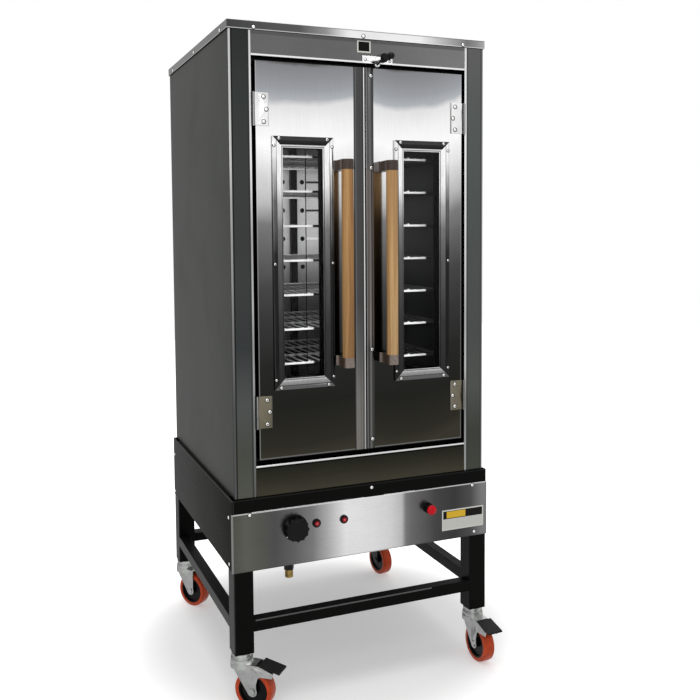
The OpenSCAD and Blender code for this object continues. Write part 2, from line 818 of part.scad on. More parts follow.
module control_panel() {
    z = [panel_z0, panel_z1];
    x = stand_x + 2 * panel_t;
    color([0.75, 0.75, 0.76]) at_centre() difference() {
        raised([[-x, panel_face], [x, panel_face], [x, panel_face + panel_return],
            [x - panel_t, panel_face + panel_return], [x - panel_t, panel_back], [-x + panel_t, panel_back],
            [-x + panel_t, panel_face + panel_return], [-x, panel_face + panel_return]], z);
        for (p = panel_screws) front_hole(p[0], panel_cut, p[1]);
        bar_y(-knob_x, panel_cut, panel_z0 + knob_up, spindle_d + 2 * spindle_play);
        for (i = [0, 1])
            bar_y(-lamp_x + i * lamp_pitch, panel_cut, panel_z0 + lamp_up, lens_d + 2 * fit_gap);
        bar_y(button_x, panel_cut, panel_z0 + button_up, collar_neck_d + 2 * fit_gap);
    }
}

module blank_plates() {
    badge_z = (header_z + latch_h + lid_top - lid_skirt) / 2 + badge_rise;
    label_z = panel_z1 - label_down;
    color([0.1, 0.1, 0.1]) at_centre() {
        block([badge_x - badge_w / 2, badge_x + badge_w / 2], [-badge_t, 0],
            [badge_z - badge_h / 2, badge_z + badge_h / 2]);
        block([label_x - label_w / 2, label_x + label_w / 2], [panel_face - badge_t, panel_face],
            [label_z - label_h / 2, label_z + label_h / 2]);
    }
}

// Two lamps, each a bezel with a neck through the panel and a lens in it
module indicator_lamps() {
    lens_hole = lens_d - 2 * lens_wall;
    for (i = [0, 1]) at_centre() translate([-lamp_x + i * lamp_pitch, panel_face, panel_z0 + lamp_up])
        rotate([90, 0, 0]) {
            color([0.05, 0.05, 0.05]) difference() {
                union() {
                    cylinder(d = lamp_d, h = bezel_t);
                    cylinder(d = lamp_d - 2 * bezel_rim, h = bezel_h);
                    translate([0, 0, -lamp_neck]) cylinder(d = lens_d, h = lamp_neck + over);
                }
                cylinder(d = lens_hole, h = bezel_h + over);
            }
            color([0.8, 0.05, 0.05]) translate([0, 0, fit_gap])
                cylinder(d = lens_hole - 2 * fit_gap, h = bezel_h + lens_out - fit_gap);
        }
}

module button_collar() {
    place = [button_x, panel_face, panel_z0 + button_up];
    color([0.05, 0.05, 0.05]) at_centre() translate(place) rotate([90, 0, 0]) difference() {
        union() {
            cylinder(d = collar_d + 2 * collar_rim, h = collar_rim_t);
            cylinder(d = collar_d, h = collar_l);
            translate([0, 0, -collar_neck]) cylinder(d = collar_neck_d, h = collar_neck + over);
        }
        translate([0, 0, -collar_neck - over])
            cylinder(d = stem_d + 2 * fit_gap, h = collar_l + collar_neck + 2 * over);
    }
}

module push_button() {
    dome_r = cap_d / 2 + 2;
    place = [button_x, panel_face - collar_l - button_travel - fit_gap, panel_z0 + button_up];
    color([0.8, 0.05, 0.05]) at_centre() translate(place) rotate([90, 0, 0]) {
        rotate_extrude() intersection() {
            translate([0, cap_h - dome_r]) circle(r = dome_r, $fn = 96);
            square([cap_d / 2, cap_h]);
        }
        translate([0, 0, -stem_l]) cylinder(d = stem_d, h = stem_l + over);
    }
}

// The knob has a round skirt, a lobed grip and a bore for the spindle
module control_knob() {
    lobe_r = knob_d / 2 - knob_step;
    color([0.06, 0.06, 0.06]) at_centre() translate([-knob_x, panel_face - knob_gap, panel_z0 + knob_up])
        rotate([90, 0, 0]) difference() {
            union() {
                cylinder(d = knob_d, h = skirt_h, $fn = 64);
                cylinder(r = lobe_r, h = knob_l);
                for (i = [0:knob_lobes - 1]) rotate(i * 360 / knob_lobes)
                    translate([lobe_r - 1, 0, 0]) cylinder(d = lobe_d, h = knob_l, $fn = 24);
            }
            translate([0, 0, -over]) cylinder(d = spindle_d + 2 * fit_gap, h = knob_l - knob_face + over);
        }
}

// The gas thermostat carries the knob on its spindle
module gas_thermostat() {
    z = panel_z0 + knob_up;
    spindle_y = panel_face - knob_gap - knob_l + knob_face + spindle_gap;
    low = z - valve_w / 2;
    color([0.6, 0.6, 0.55]) at_centre() difference() {
        union() {
            block([-knob_x - valve_w / 2, -knob_x + valve_w / 2], [panel_back, panel_back + valve_l],
                [low, z + valve_w / 2]);
            bar_y(-knob_x, [spindle_y, panel_back + over], z, spindle_d);
        }
        bar_z(-gas_x, gas_y, [low - over, low + pipe_in + socket_gap], pipe_d + 2 * fit_gap);
    }
}

// Pipe from the thermostat, black union nut and brass threaded end
module gas_inlet() {
    seat = nut_z - nut_h;
    top = panel_z0 + knob_up - valve_w / 2 + pipe_in;
    at_centre() {
        color([0.05, 0.05, 0.05]) difference() {
            translate([-gas_x, gas_y, seat]) cylinder(d = nut_d, h = nut_h, $fn = 6);
            bar_z(-gas_x, gas_y, [seat - over, nut_z + over], pipe_d + 2 * fit_gap);
        }
        color([0.75, 0.6, 0.25]) difference() {
            union() {
                bar_z(-gas_x, gas_y, [seat - gas_l, seat], gas_d);
                bar_z(-gas_x, gas_y, [seat - over, top], pipe_d);
            }
            bar_z(-gas_x, gas_y, [seat - gas_l - over, top + over], gas_bore);
        }
    }
}

/* Cabinet */

// The side wall wraps round to the strip beside the doors and on into the jamb
module cabinet_side(side) {
    x0 = -half_w;
    x1 = -strip_x;
    outline = [[x0, 0], [x1, 0], [x1, return_d], [x1 - sheet_t, return_d], [x1 - sheet_t, sheet_t],
        [x0 + sheet_t, sheet_t], [x0 + sheet_t, cab_d - sheet_t], [x0 + back_flange, cab_d - sheet_t],
        [x0 + back_flange, cab_d], [x0, cab_d]];
    color([0.3, 0.3, 0.31]) at_centre() on_side(side) difference() {
        raised(outline, [stand_z, cab_top]);
        for (y = lid_screw_ys) side_hole([x0 - over, x0 + sheet_t + over], y, lid_screw_z);
        for (z = hinge_zs, i = [-1, 1])
            side_hole([x1 - sheet_t - over, x1 + over], hinge_hole_y, z + i * leaf_screw_pitch);
    }
}

module cabinet_left_side() {
    cabinet_side(-1);
}
module cabinet_right_side() {
    cabinet_side(1);
}

module cabinet_back() {
    y = [cab_d - 2 * sheet_t, cab_d - sheet_t];
    color([0.3, 0.3, 0.31]) at_centre() difference() {
        block([-half_w + sheet_t, half_w - sheet_t], y, [stand_z, cab_top]);
        for (i = [0:slot_count - 1]) translate([0, 0, fan_z + (i - (slot_count - 1) / 2) * slot_pitch])
            block([-slot_l / 2, slot_l / 2], [y[0] - over, y[1] + over], [-slot_h / 2, slot_h / 2]);
    }
}

module cabinet_lid() {
    x = half_w + lid_over;
    y0 = -lid_over;
    y1 = cab_d + lid_over;
    z0 = lid_top - lid_skirt;
    color([0.75, 0.75, 0.75]) at_centre() difference() {
        block([-x, x], [y0, y1], [z0, lid_top]);
        block([-x + sheet_t, x - sheet_t], [y0 + sheet_t, y1 - sheet_t], [z0 - over, lid_top - sheet_t]);
        for (i = [-1, 0, 1]) front_hole(i * lid_screw_x, [y0 - over, y0 + sheet_t + over], lid_screw_z);
        for (side = [-1, 1], y = lid_screw_ys) on_side(side)
            side_hole([-x - over, -x + sheet_t + over], y, lid_screw_z);
    }
}

module header_panel() {
    color([0.7, 0.7, 0.71]) at_centre() difference() {
        along_x([[0, header_z], [return_d, header_z], [return_d, header_z + sheet_t],
            [sheet_t, header_z + sheet_t], [sheet_t, cab_top], [0, cab_top]], [-strip_x, strip_x]);
        for (i = [-1, 0, 1]) front_hole(i * lid_screw_x, [-over, sheet_t + over], lid_screw_z);
        bar_y(latch_cx, [-over, sheet_t + over], latch_cz, latch_pin_d + 2 * fit_gap);
    }
}

module lower_front_panel() {
    color([0.6, 0.6, 0.61]) at_centre()
        along_x([[0, stand_z], [sheet_t, stand_z], [sheet_t, kick_z - sheet_t], [return_d, kick_z - sheet_t],
            [return_d, kick_z], [0, kick_z]], [-strip_x, strip_x]);
}

// The cavity is a welded box of sheets whose front flange closes on the cabinet's returns
module oven_liner() {
    t = liner_t;
    g = weld_gap;
    rim = strip_x + sheet_t;
    front = [flange_y0, flange_y1];
    y = [flange_y1 + g, cav_y1 + t];
    z = [cav_z0 + g, cav_z1 - g];
    color([0.55, 0.55, 0.56]) at_centre() {
        for (side = [-1, 1]) on_side(side) {
            block([-rim, -cav_x], front, z);
            block([-cav_x - t, -cav_x], y, z);
        }
        for (h = [[kick_z - sheet_t, cav_z0], [cav_z1, header_z + sheet_t]]) block([-rim, rim], front, h);
        for (h = [[cav_z0 - t, cav_z0], [cav_z1, cav_z1 + t]]) block([-cav_x - t, cav_x + t], y, h);
        difference() {
            block([g - cav_x, cav_x - g], [cav_y1, cav_y1 + t], z);
            bar_y(0, [cav_y1 - over, cav_y1 + t + over], fan_z, shaft_d + 2 * shaft_play);
        }
    }
}

module door_gasket() {
    x = door_x - gasket_in;
    z0 = door_z0 + gasket_in;
    z1 = door_z1 - gasket_in;
    y = [door_t + gasket_gap, return_d];
    color([0.08, 0.08, 0.08]) at_centre() difference() {
        block([-x, x], y, [z0, z1]);
        block([-x + gasket_w, x - gasket_w], [y[0] - over, y[1] + over], [z0 + gasket_w, z1 - gasket_w]);
    }
}

// Perforated sheet in front of the fan, with an air intake and a row of outlets for each shelf
module fan_baffle() {
    y = [baffle_y, baffle_y + liner_t];
    cut = [y[0] - over, y[1] + over];
    color([0.6, 0.6, 0.6]) at_centre() difference() {
        block([-cav_x, cav_x], y, [cav_z0, cav_z1]);
        bar_y(0, cut, fan_z, intake_d);
        for (k = [0:shelf_count - 1], i = [0:outlet_cols - 1], s = [-1, 1])
            bar_y(s * (outlet_pitch / 2 + i * outlet_pitch), cut, shelf_z(k) - outlet_down, outlet_d);
    }
}

module fan_motor() {
    y0 = cav_y1 + liner_t;
    color([0.3, 0.32, 0.34]) at_centre() difference() {
        bar_y(0, [y0, y0 + motor_l], fan_z, motor_d);
        bar_y(0, [y0 - over, y0 + motor_l - motor_cover], fan_z, shaft_d + 2 * fit_gap);
    }
}

// Backward-curved blades on a back plate, with a hub and a shaft into the motor
module fan_wheel() {
    y1 = cav_y1 - fan_gap;
    shaft_y = cav_y1 + liner_t + motor_l - motor_cover - shaft_end_gap;
    color([0.6, 0.6, 0.62]) at_centre() {
        bar_y(0, [y1 - fan_plate, y1], fan_z, fan_d);
        bar_y(0, [y1 - fan_hub_l, y1], fan_z, fan_hub_d);
        bar_y(0, [y1 - over, shaft_y], fan_z, shaft_d);
        translate([0, y1 - over, fan_z]) rotate([90, 0, 0]) for (i = [0:fan_blades - 1])
            rotate(i * 360 / fan_blades) translate([fan_d / 2 - blade_in, 0, 0]) rotate(-blade_a)
                cube([blade_w, blade_t, fan_w - over]);
    }
}

/* Racks and shelves */

function shelf_z(k) = door_z0 + shelf_up + k * shelf_pitch;

// Two uprights a side with an angled runner under each shelf, and the rear post
module rack_supports() {
    wall = cav_x - runner_t;
    run_y = [shelf_y0 - runner_front, shelf_y1 + runner_back];
    low_z = cav_z0;
    top_z = shelf_z(shelf_count - 1) + upright_over;
    color([0.5, 0.5, 0.5]) at_centre() {
        for (side = [-1, 1]) on_side(side) {
            for (y = [run_y[0] + upright_in, run_y[1] - upright_in - upright_w])
                block([-cav_x, -wall], [y, y + upright_w], [low_z, top_z]);
            for (k = [0:shelf_count - 1]) translate([-wall, 0, shelf_z(k) - rod_d / 2 - shelf_gap]) {
                block([0, runner_t], run_y, [-runner_t, runner_h]);
                block([0, runner_w], run_y, [-runner_t, 0]);
            }
        }
        block([-post_w / 2, post_w / 2], [baffle_y - post_d, baffle_y], [low_z, top_z + post_over]);
    }
}

// A wire shelf: rods round the edge, wires from front to back and two cross rods
module shelf(k) {
    z = shelf_z(k);
    x = shelf_half - rod_d / 2;
    y0 = shelf_y0 + rod_d / 2;
    y1 = shelf_y1 - rod_d / 2;
    pitch = 2 * x / (wire_count + 1);
    color([0.8, 0.8, 0.8]) at_centre() translate([0, 0, z]) {
        for (y = [y0, y1]) bar8_x([-shelf_half, shelf_half], y, rod_d);
        for (s = [-1, 1]) bar8_y(s * x, [y0, y1], side_rod_d);
        for (y = [y0 + (y1 - y0) / 3, y1 - (y1 - y0) / 3]) bar8_x([-x, x], y, rod_d);
        translate([0, 0, wire_d / 2])
            for (i = [1:wire_count]) bar8_y(-x + i * pitch, [y0, y1], wire_d);
    }
}
// Eight-sided rods that lie on a flat of their outline
module rod8(d, l) {
    turn = 22.5;
    rotate(turn) cylinder(d = d / cos(turn), h = l, $fn = 8);
}
module bar8_x(x, y, d) {
    translate([x[0], y, 0]) rotate([0, 90, 0]) rod8(d, x[1] - x[0]);
}
module bar8_y(x, y, d) {
    translate([x, y[1], 0]) rotate([90, 0, 0]) rod8(d, y[1] - y[0]);
}
module shelf_1() {
    shelf(0);
}
module shelf_2() {
    shelf(1);
}
module shelf_3() {
    shelf(2);
}
module shelf_4() {
    shelf(3);
}
module shelf_5() {
    shelf(4);
}
module shelf_6() {
    shelf(5);
}
module shelf_7() {
    shelf(6);
}

/* Hinges */

// Leaf on the jamb with the outer two knuckles, and the pin in them
module frame_hinge(z) {
    x = -hinge_x;
    y = -hinge_out;
    difference() {
        union() {
            block([-strip_x, -strip_x + leaf_t], [y, leaf_back], [z - hinge_h / 2, z + hinge_h / 2]);
            for (k = [0, 2]) bar_z(x, y, [z + knuckle_z[k][0], z + knuckle_z[k][1]], knuckle_d);
        }
        bar_z(x, y, [z - hinge_h, z + hinge_h], pin_bore_d);
        bar_z(x, y, [z + knuckle_z[1][0] - knuckle_gap, z + knuckle_z[1][1] + knuckle_gap],
            knuckle_d + 2 * over);
        for (i = [-1, 1]) side_hole([-strip_x - over, -strip_x + leaf_t + over], hinge_hole_y,
            z + i * leaf_screw_pitch);
    }
    bar_z(x, y, [z - hinge_h / 2 - 1, z + hinge_h / 2 + 1], hinge_pin_d);
    for (i = [-1, 1]) translate([-strip_x + leaf_t, hinge_hole_y, z + i * leaf_screw_pitch])
        rotate([0, 90, 0]) {
            cylinder(d = leaf_head_d, h = leaf_head_h);
            translate([0, 0, -shank_l]) cylinder(d = shank_d, h = shank_l + over);
        }
}
module frame_hinges() {
    color([0.7, 0.7, 0.7]) at_centre() for (side = [-1, 1], z = hinge_zs) on_side(side) frame_hinge(z);
}

// Leaf on the door with the middle knuckle and three screws
module door_hinge(z) {
    x = -hinge_x;
    y = -hinge_out;
    difference() {
        union() {
            block([x + knuckle_d / 4, x + leaf_reach], [-leaf_t, 0], [z - hinge_h / 2, z + hinge_h / 2]);
            bar_z(x, y, [z + knuckle_z[1][0], z + knuckle_z[1][1]], knuckle_d);
        }
        bar_z(x, y, [z - hinge_h, z + hinge_h], pin_bore_d);
        for (k = [0, 2])
            bar_z(x, y, [z + knuckle_z[k][0] - knuckle_gap, z + knuckle_z[k][1] + knuckle_gap],
                knuckle_d + 2 * knuckle_play);
        for (p = leaf_screws) front_hole(x + p[0], [-leaf_t - over, over], z + p[1] * leaf_screw_pitch);
    }
    for (p = leaf_screws) front_screw(x + p[0], -leaf_t, z + p[1] * leaf_screw_pitch, h = leaf_head_h);
}
module door_hinges(side) {
    color([0.75, 0.75, 0.75]) at_centre() for (z = hinge_zs) on_side(side) door_hinge(z);
}
module left_door_hinges() {
    door_hinges(-1);
}
module right_door_hinges() {
    door_hinges(1);
}

/* Doors, drawn for the left side, with the inner edge where each door ends */

function door_edge(side) = side < 0 ? left_door_x1 : -right_door_x0;
function side_rivets() = [for (z = [win_z0 - side_rivet_low, win_zm, win_z1 + side_rivet_high], s = [-1, 1])
    [-win_x + s * (trim_x - side_rivet_in), z]];
function trim_rivets() = [for (s = [-1, 1], t = [-1, 1])
    [-win_x + s * (trim_x - trim_rivet_x), win_zm + t * (win_h / 2 + trim_w - trim_rivet_z)]];

// Outer sheet folded back on four sides, open behind
module door_skin(side) {
    x = [-door_x, door_edge(side)];
    z = [door_z0, door_z1];
    t = door_sheet;
    color([0.72, 0.72, 0.74]) at_centre() on_side(side) difference() {
        block(x, [0, door_t], z);
        block([x[0] + t, x[1] - t], [t, door_t + over], [z[0] + t, z[1] - t]);
        block([-win_x - win_w / 2, -win_x + win_w / 2], [-over, t + over], [win_z0, win_z1]);
        for (p = concat(trim_rivets(), side_rivets())) front_hole(p[0], [-over, t + over], p[1]);
        for (p = leaf_screws, h = hinge_zs)
            front_hole(-hinge_x + p[0], [-over, t + over], h + p[1] * leaf_screw_pitch);
        if (side > 0) for (r = meet_rivets)
            front_hole(x[1] - meet_rivet_in, [-over, t + over], door_z0 + r);
        for (b = bracket_zs) front_hole(-grip_x(side), [-over, t + over], b);
    }
}

// Inner sheet with a folded tunnel that lines the window
module door_back(side) {
    t = door_sheet;
    m = t + weld_gap;
    lip = 12;
    tunnel = pane_grip + t;
    hole_x = [-win_x - win_w / 2 - tunnel, -win_x + win_w / 2 + tunnel];
    hole_z = [win_z0 - tunnel, win_z1 + tunnel];
    x = [-door_x + m, door_edge(side) - m];
    z = [door_z0 + m, door_z1 - m];
    color([0.6, 0.6, 0.62]) at_centre() on_side(side) difference() {
        union() {
            block(x, [door_t - lip, door_t], z);
            block(hole_x, [t, door_t], hole_z);
        }
        difference() {
            block([x[0] + t, x[1] - t], [door_t - lip - over, door_t - t], [z[0] + t, z[1] - t]);
            block(hole_x, [0, door_t], hole_z);
        }
        block([hole_x[0] + t, hole_x[1] - t], [0, door_t - t], [hole_z[0] + t, hole_z[1] - t]);
        block([hole_x[0] + tunnel, hole_x[1] - tunnel], [0, door_t + over],
            [hole_z[0] + tunnel, hole_z[1] - tunnel]);
    }
}

// Outer and inner pane, held between the sheets by their rims
module window_glass(side) {
    g = pane_grip - fit_gap;
    x = [-win_x - win_w / 2 - g, -win_x + win_w / 2 + g];
    z = [win_z0 - g, win_z1 + g];
    y0 = door_sheet + fit_gap;
    y1 = door_t - door_sheet - fit_gap;
    color([0.7, 0.8, 0.8, 0.4]) at_centre() on_side(side) {
        block(x, [y0, y0 + pane_t], z);
        block(x, [y1 - pane_t, y1], z);
    }
}

// The corners of a rectangle round the middle, at one height
function corners(x, y, z) = [[-x, -y, z], [x, -y, z], [x, y, z], [-x, y, z]];

// Raised frame, flat outside and sloping down to its thin inner edge
module window_trim(side) {
    hw = win_w / 2;
    hh = win_h / 2;
    f = trim_w - trim_flat;
    rivet_l = trim_t + trim_rivet_l;
    inner = corners(hw, hh, trim_lip);
    rim = corners(hw + f, hh + f, trim_t);
    above = corners(hw + f, hh + f, 2 * trim_t - trim_lip);
    color([0.35, 0.35, 0.35]) at_centre() on_side(side) {
        difference() {
            translate([-win_x, 0, win_zm]) rotate([90, 0, 0]) difference() {
                block([-hw - trim_w, hw + trim_w], [-hh - trim_w, hh + trim_w], [0, trim_t]);
                block([-hw, hw], [-hh, hh], [-over, trim_t + over]);
                polyhedron(concat(inner, rim, above),
                    [[0, 1, 2, 3], [0, 4, 5, 1], [1, 5, 6, 2], [2, 6, 7, 3], [3, 7, 4, 0],
                    [4, 8, 9, 5], [5, 9, 10, 6], [6, 10, 11, 7], [7, 11, 8, 4], [11, 10, 9, 8]]);
            }
            for (p = concat(trim_rivets(), side_rivets())) front_hole(p[0], [-trim_t - over, over], p[1]);
        }
        for (p = trim_rivets()) front_screw(p[0], -trim_t, p[1], d = trim_rivet_d, l = rivet_l);
        for (p = side_rivets())
            front_screw(p[0], -trim_t, p[1], d = side_rivet_d, h = side_rivet_h, l = rivet_l);
    }
}

module meeting_strip(side) {
    x1 = door_edge(side);
    w = side < 0 ? meet_w_left : meet_w_right;
    color([0.4, 0.4, 0.4]) at_centre() on_side(side) {
        difference() {
            block([x1 - w, x1], [-meet_t, 0], [door_z0, door_z1]);
            if (side > 0) for (r = meet_rivets)
                front_hole(x1 - meet_rivet_in, [-meet_t - over, over], door_z0 + r);
        }
        if (side > 0) for (r = meet_rivets) front_screw(x1 - meet_rivet_in, -meet_t, door_z0 + r);
    }
}

// Distance of a grip's axis from the cabinet's middle
function grip_x(side) = side < 0 ? grip_left_x : grip_right_x;

// Turned wooden grip with a tenon at each end
module handle_grip(side) {
    z0 = door_z0 + grip_up;
    color([0.72, 0.52, 0.32]) at_centre() on_side(side) {
        bar_z(-grip_x(side), -grip_out, [z0, z0 + grip_len], grip_d);
        bar_z(-grip_x(side), -grip_out, [z0 - tenon_l, z0 + grip_len + tenon_l], tenon_d);
    }
}

// A cap round the tenon with an arm back to the door and a screw through the sheet
module handle_bracket(x, z0, open_up) {
    arm = bracket_arm / 2;
    cap = bracket_d / 2;
    foot = arm + foot_out;
    hole = tenon_l + tenon_gap;
    tenon_z = open_up ? [z0 + bracket_h - hole, z0 + bracket_h + over] : [z0 - over, z0 + hole];
    difference() {
        union() {
            bar_z(x, -grip_out, [z0, z0 + bracket_h], bracket_d);
            translate([x, 0, 0]) raised([[-cap, -grip_out], [cap, -grip_out], [arm, -foot_h],
                [foot, -foot_h], [foot, 0], [-foot, 0], [-foot, -foot_h], [-arm, -foot_h]],
                [z0, z0 + bracket_h]);
        }
        bar_z(x, -grip_out, tenon_z, tenon_d + 2 * fit_gap);
    }
    bar_y(x, [-over, shank_l], z0 + bracket_h / 2, shank_d);
}
module handle_brackets(side) {
    z0 = door_z0 + grip_up;
    color([0.3, 0.22, 0.2]) at_centre() on_side(side) {
        handle_bracket(-grip_x(side), z0 - bracket_h, true);
        handle_bracket(-grip_x(side), z0 + grip_len, false);
    }
}

module left_door_skin() {
    door_skin(-1);
}
module right_door_skin() {
    door_skin(1);
}
module left_door_back() {
    door_back(-1);
}
module right_door_back() {
    door_back(1);
}
module left_window_glass() {
    window_glass(-1);
}
module right_window_glass() {
    window_glass(1);
}
module left_window_trim() {
    window_trim(-1);
}
module right_window_trim() {
    window_trim(1);
}
module left_meeting_strip() {
    meeting_strip(-1);
}
module right_meeting_strip() {
    meeting_strip(1);
}
module left_handle_grip() {
    handle_grip(-1);
}
module right_handle_grip() {
    handle_grip(1);
}
module left_handle_brackets() {
    handle_brackets(-1);
}
module right_handle_brackets() {
    handle_brackets(1);
}

/* Latch */

// Plate on the header with the pivot pin and two rivets
module latch_plate() {
    cap_y = -latch_t - barrel_l - pin_cap_gap;
    color([0.85, 0.85, 0.85]) at_centre() {
        difference() {
            block([latch_x, latch_x + latch_w], [-latch_t, 0], [header_z, header_z + latch_h]);
            bar_y(latch_cx, [-latch_t - over, over], latch_cz, latch_pin_d + 2 * fit_gap);
        }
        bar_y(latch_cx, [cap_y - over, sheet_t], latch_cz, latch_pin_d);
        bar_y(latch_cx, [cap_y - pin_cap_t, cap_y], latch_cz, pin_cap_d);
        for (x = [latch_x + latch_rivet_in, latch_x + latch_w - latch_rivet_in])
            translate([x, -latch_t, header_z + latch_h / 2]) rotate([90, 0, 0])
                screw_head(latch_rivet_d, latch_rivet_h);
    }
}

// A barrel on the pivot with the ball lever up to the right and the hook down to the left
module latch_lever() {
    y = [-latch_t - barrel_l, -latch_t - barrel_gap];
    arm = latch_arm;
    mid = -latch_t - ball_d / 2 - ball_gap;
    hx = latch_cx + hook_r * cos(hook_a);
    hz = latch_cz + hook_r * sin(hook_a);
    color([0.2, 0.2, 0.2]) at_centre() difference() {
        union() {
            bar_y(latch_cx, y, latch_cz, barrel_d);
            translate([latch_cx, mid, latch_cz]) rotate([0, 90 - ball_a, 0]) rotate_extrude() union() {
                square([arm, ball_r]);
                intersection() {
                    translate([0, ball_r]) circle(d = ball_d, $fn = 96);
                    translate([0, ball_r - ball_d]) square([ball_d, 2 * ball_d]);
                }
            }
            translate([latch_cx, mid, latch_cz]) rotate([0, -hook_a, 0])
                block([0, hook_r], [1 - arm, arm - 1], [-arm, arm]);
            bar_y(hx, [mid - arm, mid + arm], hz, hook_d);
        }
        bar_y(latch_cx, [y[0] - over, y[1] + over], latch_cz, latch_pin_d + 2 * fit_gap);
        bar_y(hx, [mid - arm - over, mid + arm + over], hz, hook_d - 2 * hook_wall);
    }
}

/* Screws of the cabinet, the base panels and the control panel */

module cabinet_screws() {
    color([0.7, 0.7, 0.7]) at_centre() {
        for (i = [-1, 0, 1]) front_screw(i * lid_screw_x, -lid_over, lid_screw_z);
        for (side = [-1, 1], y = lid_screw_ys) on_side(side)
            side_screw(-half_w - lid_over, y, lid_screw_z, shank_l);
        for (p = panel_screws) front_screw(p[0], panel_face, p[1], l = panel_t);
        for (side = [-1, 1], p = base_screws) on_side(side)
            side_screw(-stand_x - panel_t, p[0], p[1], panel_t);
    }
}

/* Casters, drawn at the swivel axis with the wheel trailing along x */

module at_caster(i) {
    at_centre() translate([legs_at[i][0], legs_at[i][1], 0]) rotate(headings[i]) children();
}

// Fixed half of the swivel head, with the stud in the leg and the kingpin
module caster_stem() {
    low = ring_top + swivel_gap;
    under = fork_top - fork_t - swivel_gap;
    bar_z(0, 0, [low, low + stem_low], head_ring_d);
    bar_z(0, 0, [low + stem_low, leg_z - stem_top], head_ring_d - 4 * ring_step);
    bar_z(0, 0, [leg_z - stem_top, leg_z], head_ring_d - ring_step);
    bar_z(0, 0, [leg_z - over, leg_z + stud_l], stud_d);
    bar_z(0, 0, [under - kingpin_head, low + over], kingpin_d);
    bar_z(0, 0, [under - kingpin_head, under], kingpin_d + 2 * kingpin_rim);
}
module caster_stems() {
    color([0.7, 0.7, 0.7]) for (i = [0:3]) at_caster(i) caster_stem();
}

// One side plate of the fork, with an arm for the brake where the caster has one
module fork_plate(braked) {
    low = axle_z - fork_eye / 2;
    side = fork_eye - 2;
    nose = [[-fork_head, fork_top], [-fork_head, fork_top - fork_skirt], [trail - side, low],
        [trail + side, low]];
    // Shares of the wheel's diameter
    arm = braked ? [[0.47, 0.7], [0.51, 0.84], [0.56, 0.895], [0.9, 0.91], [0.93, 1.03]] :
        [[0.47, 0.7], [0.48, 0.84]];
    end = [[trail + (braked ? brake_tail : fork_tail), fork_top]];
    polygon(concat(nose, wheel_d * arm, end));
    translate([trail, axle_z]) circle(r = fork_eye);
}
module fork(i, braked) {
    pin_y = fork_out + pedal_pin_out;
    color([0.65, 0.66, 0.66]) at_caster(i) difference() {
        union() {
            for (y = [fork_out, -fork_in]) translate([0, y, 0]) rotate([90, 0, 0]) linear_extrude(fork_t)
                fork_plate(braked);
            block([-fork_head, trail + fork_tail], [-fork_out, fork_out], [fork_top - fork_t, fork_top]);
            bar_z(0, 0, [fork_top - fork_skirt, fork_top], head_ring_d + 4 * ring_step);
            bar_z(0, 0, [fork_top - over, ring_top], head_ring_d + 2 * ring_step);
            bar_y(trail, [-fork_out, fork_out], axle_z, axle_d);
            for (y = [fork_out + nut_t, -fork_out]) translate([trail, y, axle_z]) rotate([90, 0, 0])
                cylinder(d = nut_w, h = nut_t, $fn = 6);
            if (braked) bar_y(pedal_px, [-pin_y, pin_y], pedal_pz, pedal_pin_d);
        }
        bar_z(0, 0, [fork_top - fork_t - over, ring_top + over], kingpin_d + 2 * fit_gap);
        bar_z(0, 0, [fork_top - fork_skirt - over, fork_top - fork_t], 2 * fork_in - ring_step);
    }
}
module front_left_fork() {
    fork(0, true);
}
module front_right_fork() {
    fork(1, true);
}
module rear_left_fork() {
    fork(2, false);
}
module rear_right_fork() {
    fork(3, false);
}

// A black hub with a recessed disc and a boss, and a tyre round it
module wheel(i) {
    r1 = wheel_d / 2;
    r = r1 - tyre_t;
    h = wheel_w / 2;
    // Bore, boss, slope and rim of the hub
    bore = axle_d / 2 + fit_gap;
    boss = bore + boss_wall;
    rim = r - hub_rim;
    slope = rim - 1;
    out = h + boss_out;
    deep = h - hub_recess;
    edge = h - hub_rim_in;
    shoulder = 0.3 * tyre_bevel;
    at_caster(i) translate([trail, 0, axle_z]) rotate([90, 0, 0]) {
        color([0.05, 0.05, 0.05]) rotate_extrude($fn = 64)
            polygon([[bore, -out], [boss, -out], [boss, -deep], [slope, -deep], [rim, -edge], [r, -edge],
                [r, edge], [rim, edge], [slope, deep], [boss, deep], [boss, out], [bore, out]]);
        color([0.85, 0.25, 0.08]) rotate_extrude($fn = 96)
            polygon([[r + fit_gap, -h], [r1 - tyre_bevel, -h], [r1 - shoulder, -h + tyre_bevel / 2],
                [r1, -h + 2 * tyre_bevel], [r1, h - 2 * tyre_bevel], [r1 - shoulder, h - tyre_bevel / 2],
                [r1 - tyre_bevel, h], [r + fit_gap, h]]);
    }
}
module front_left_wheel() {
    wheel(0);
}
module front_right_wheel() {
    wheel(1);
}
module rear_left_wheel() {
    wheel(2);
}
module rear_right_wheel() {
    wheel(3);
}

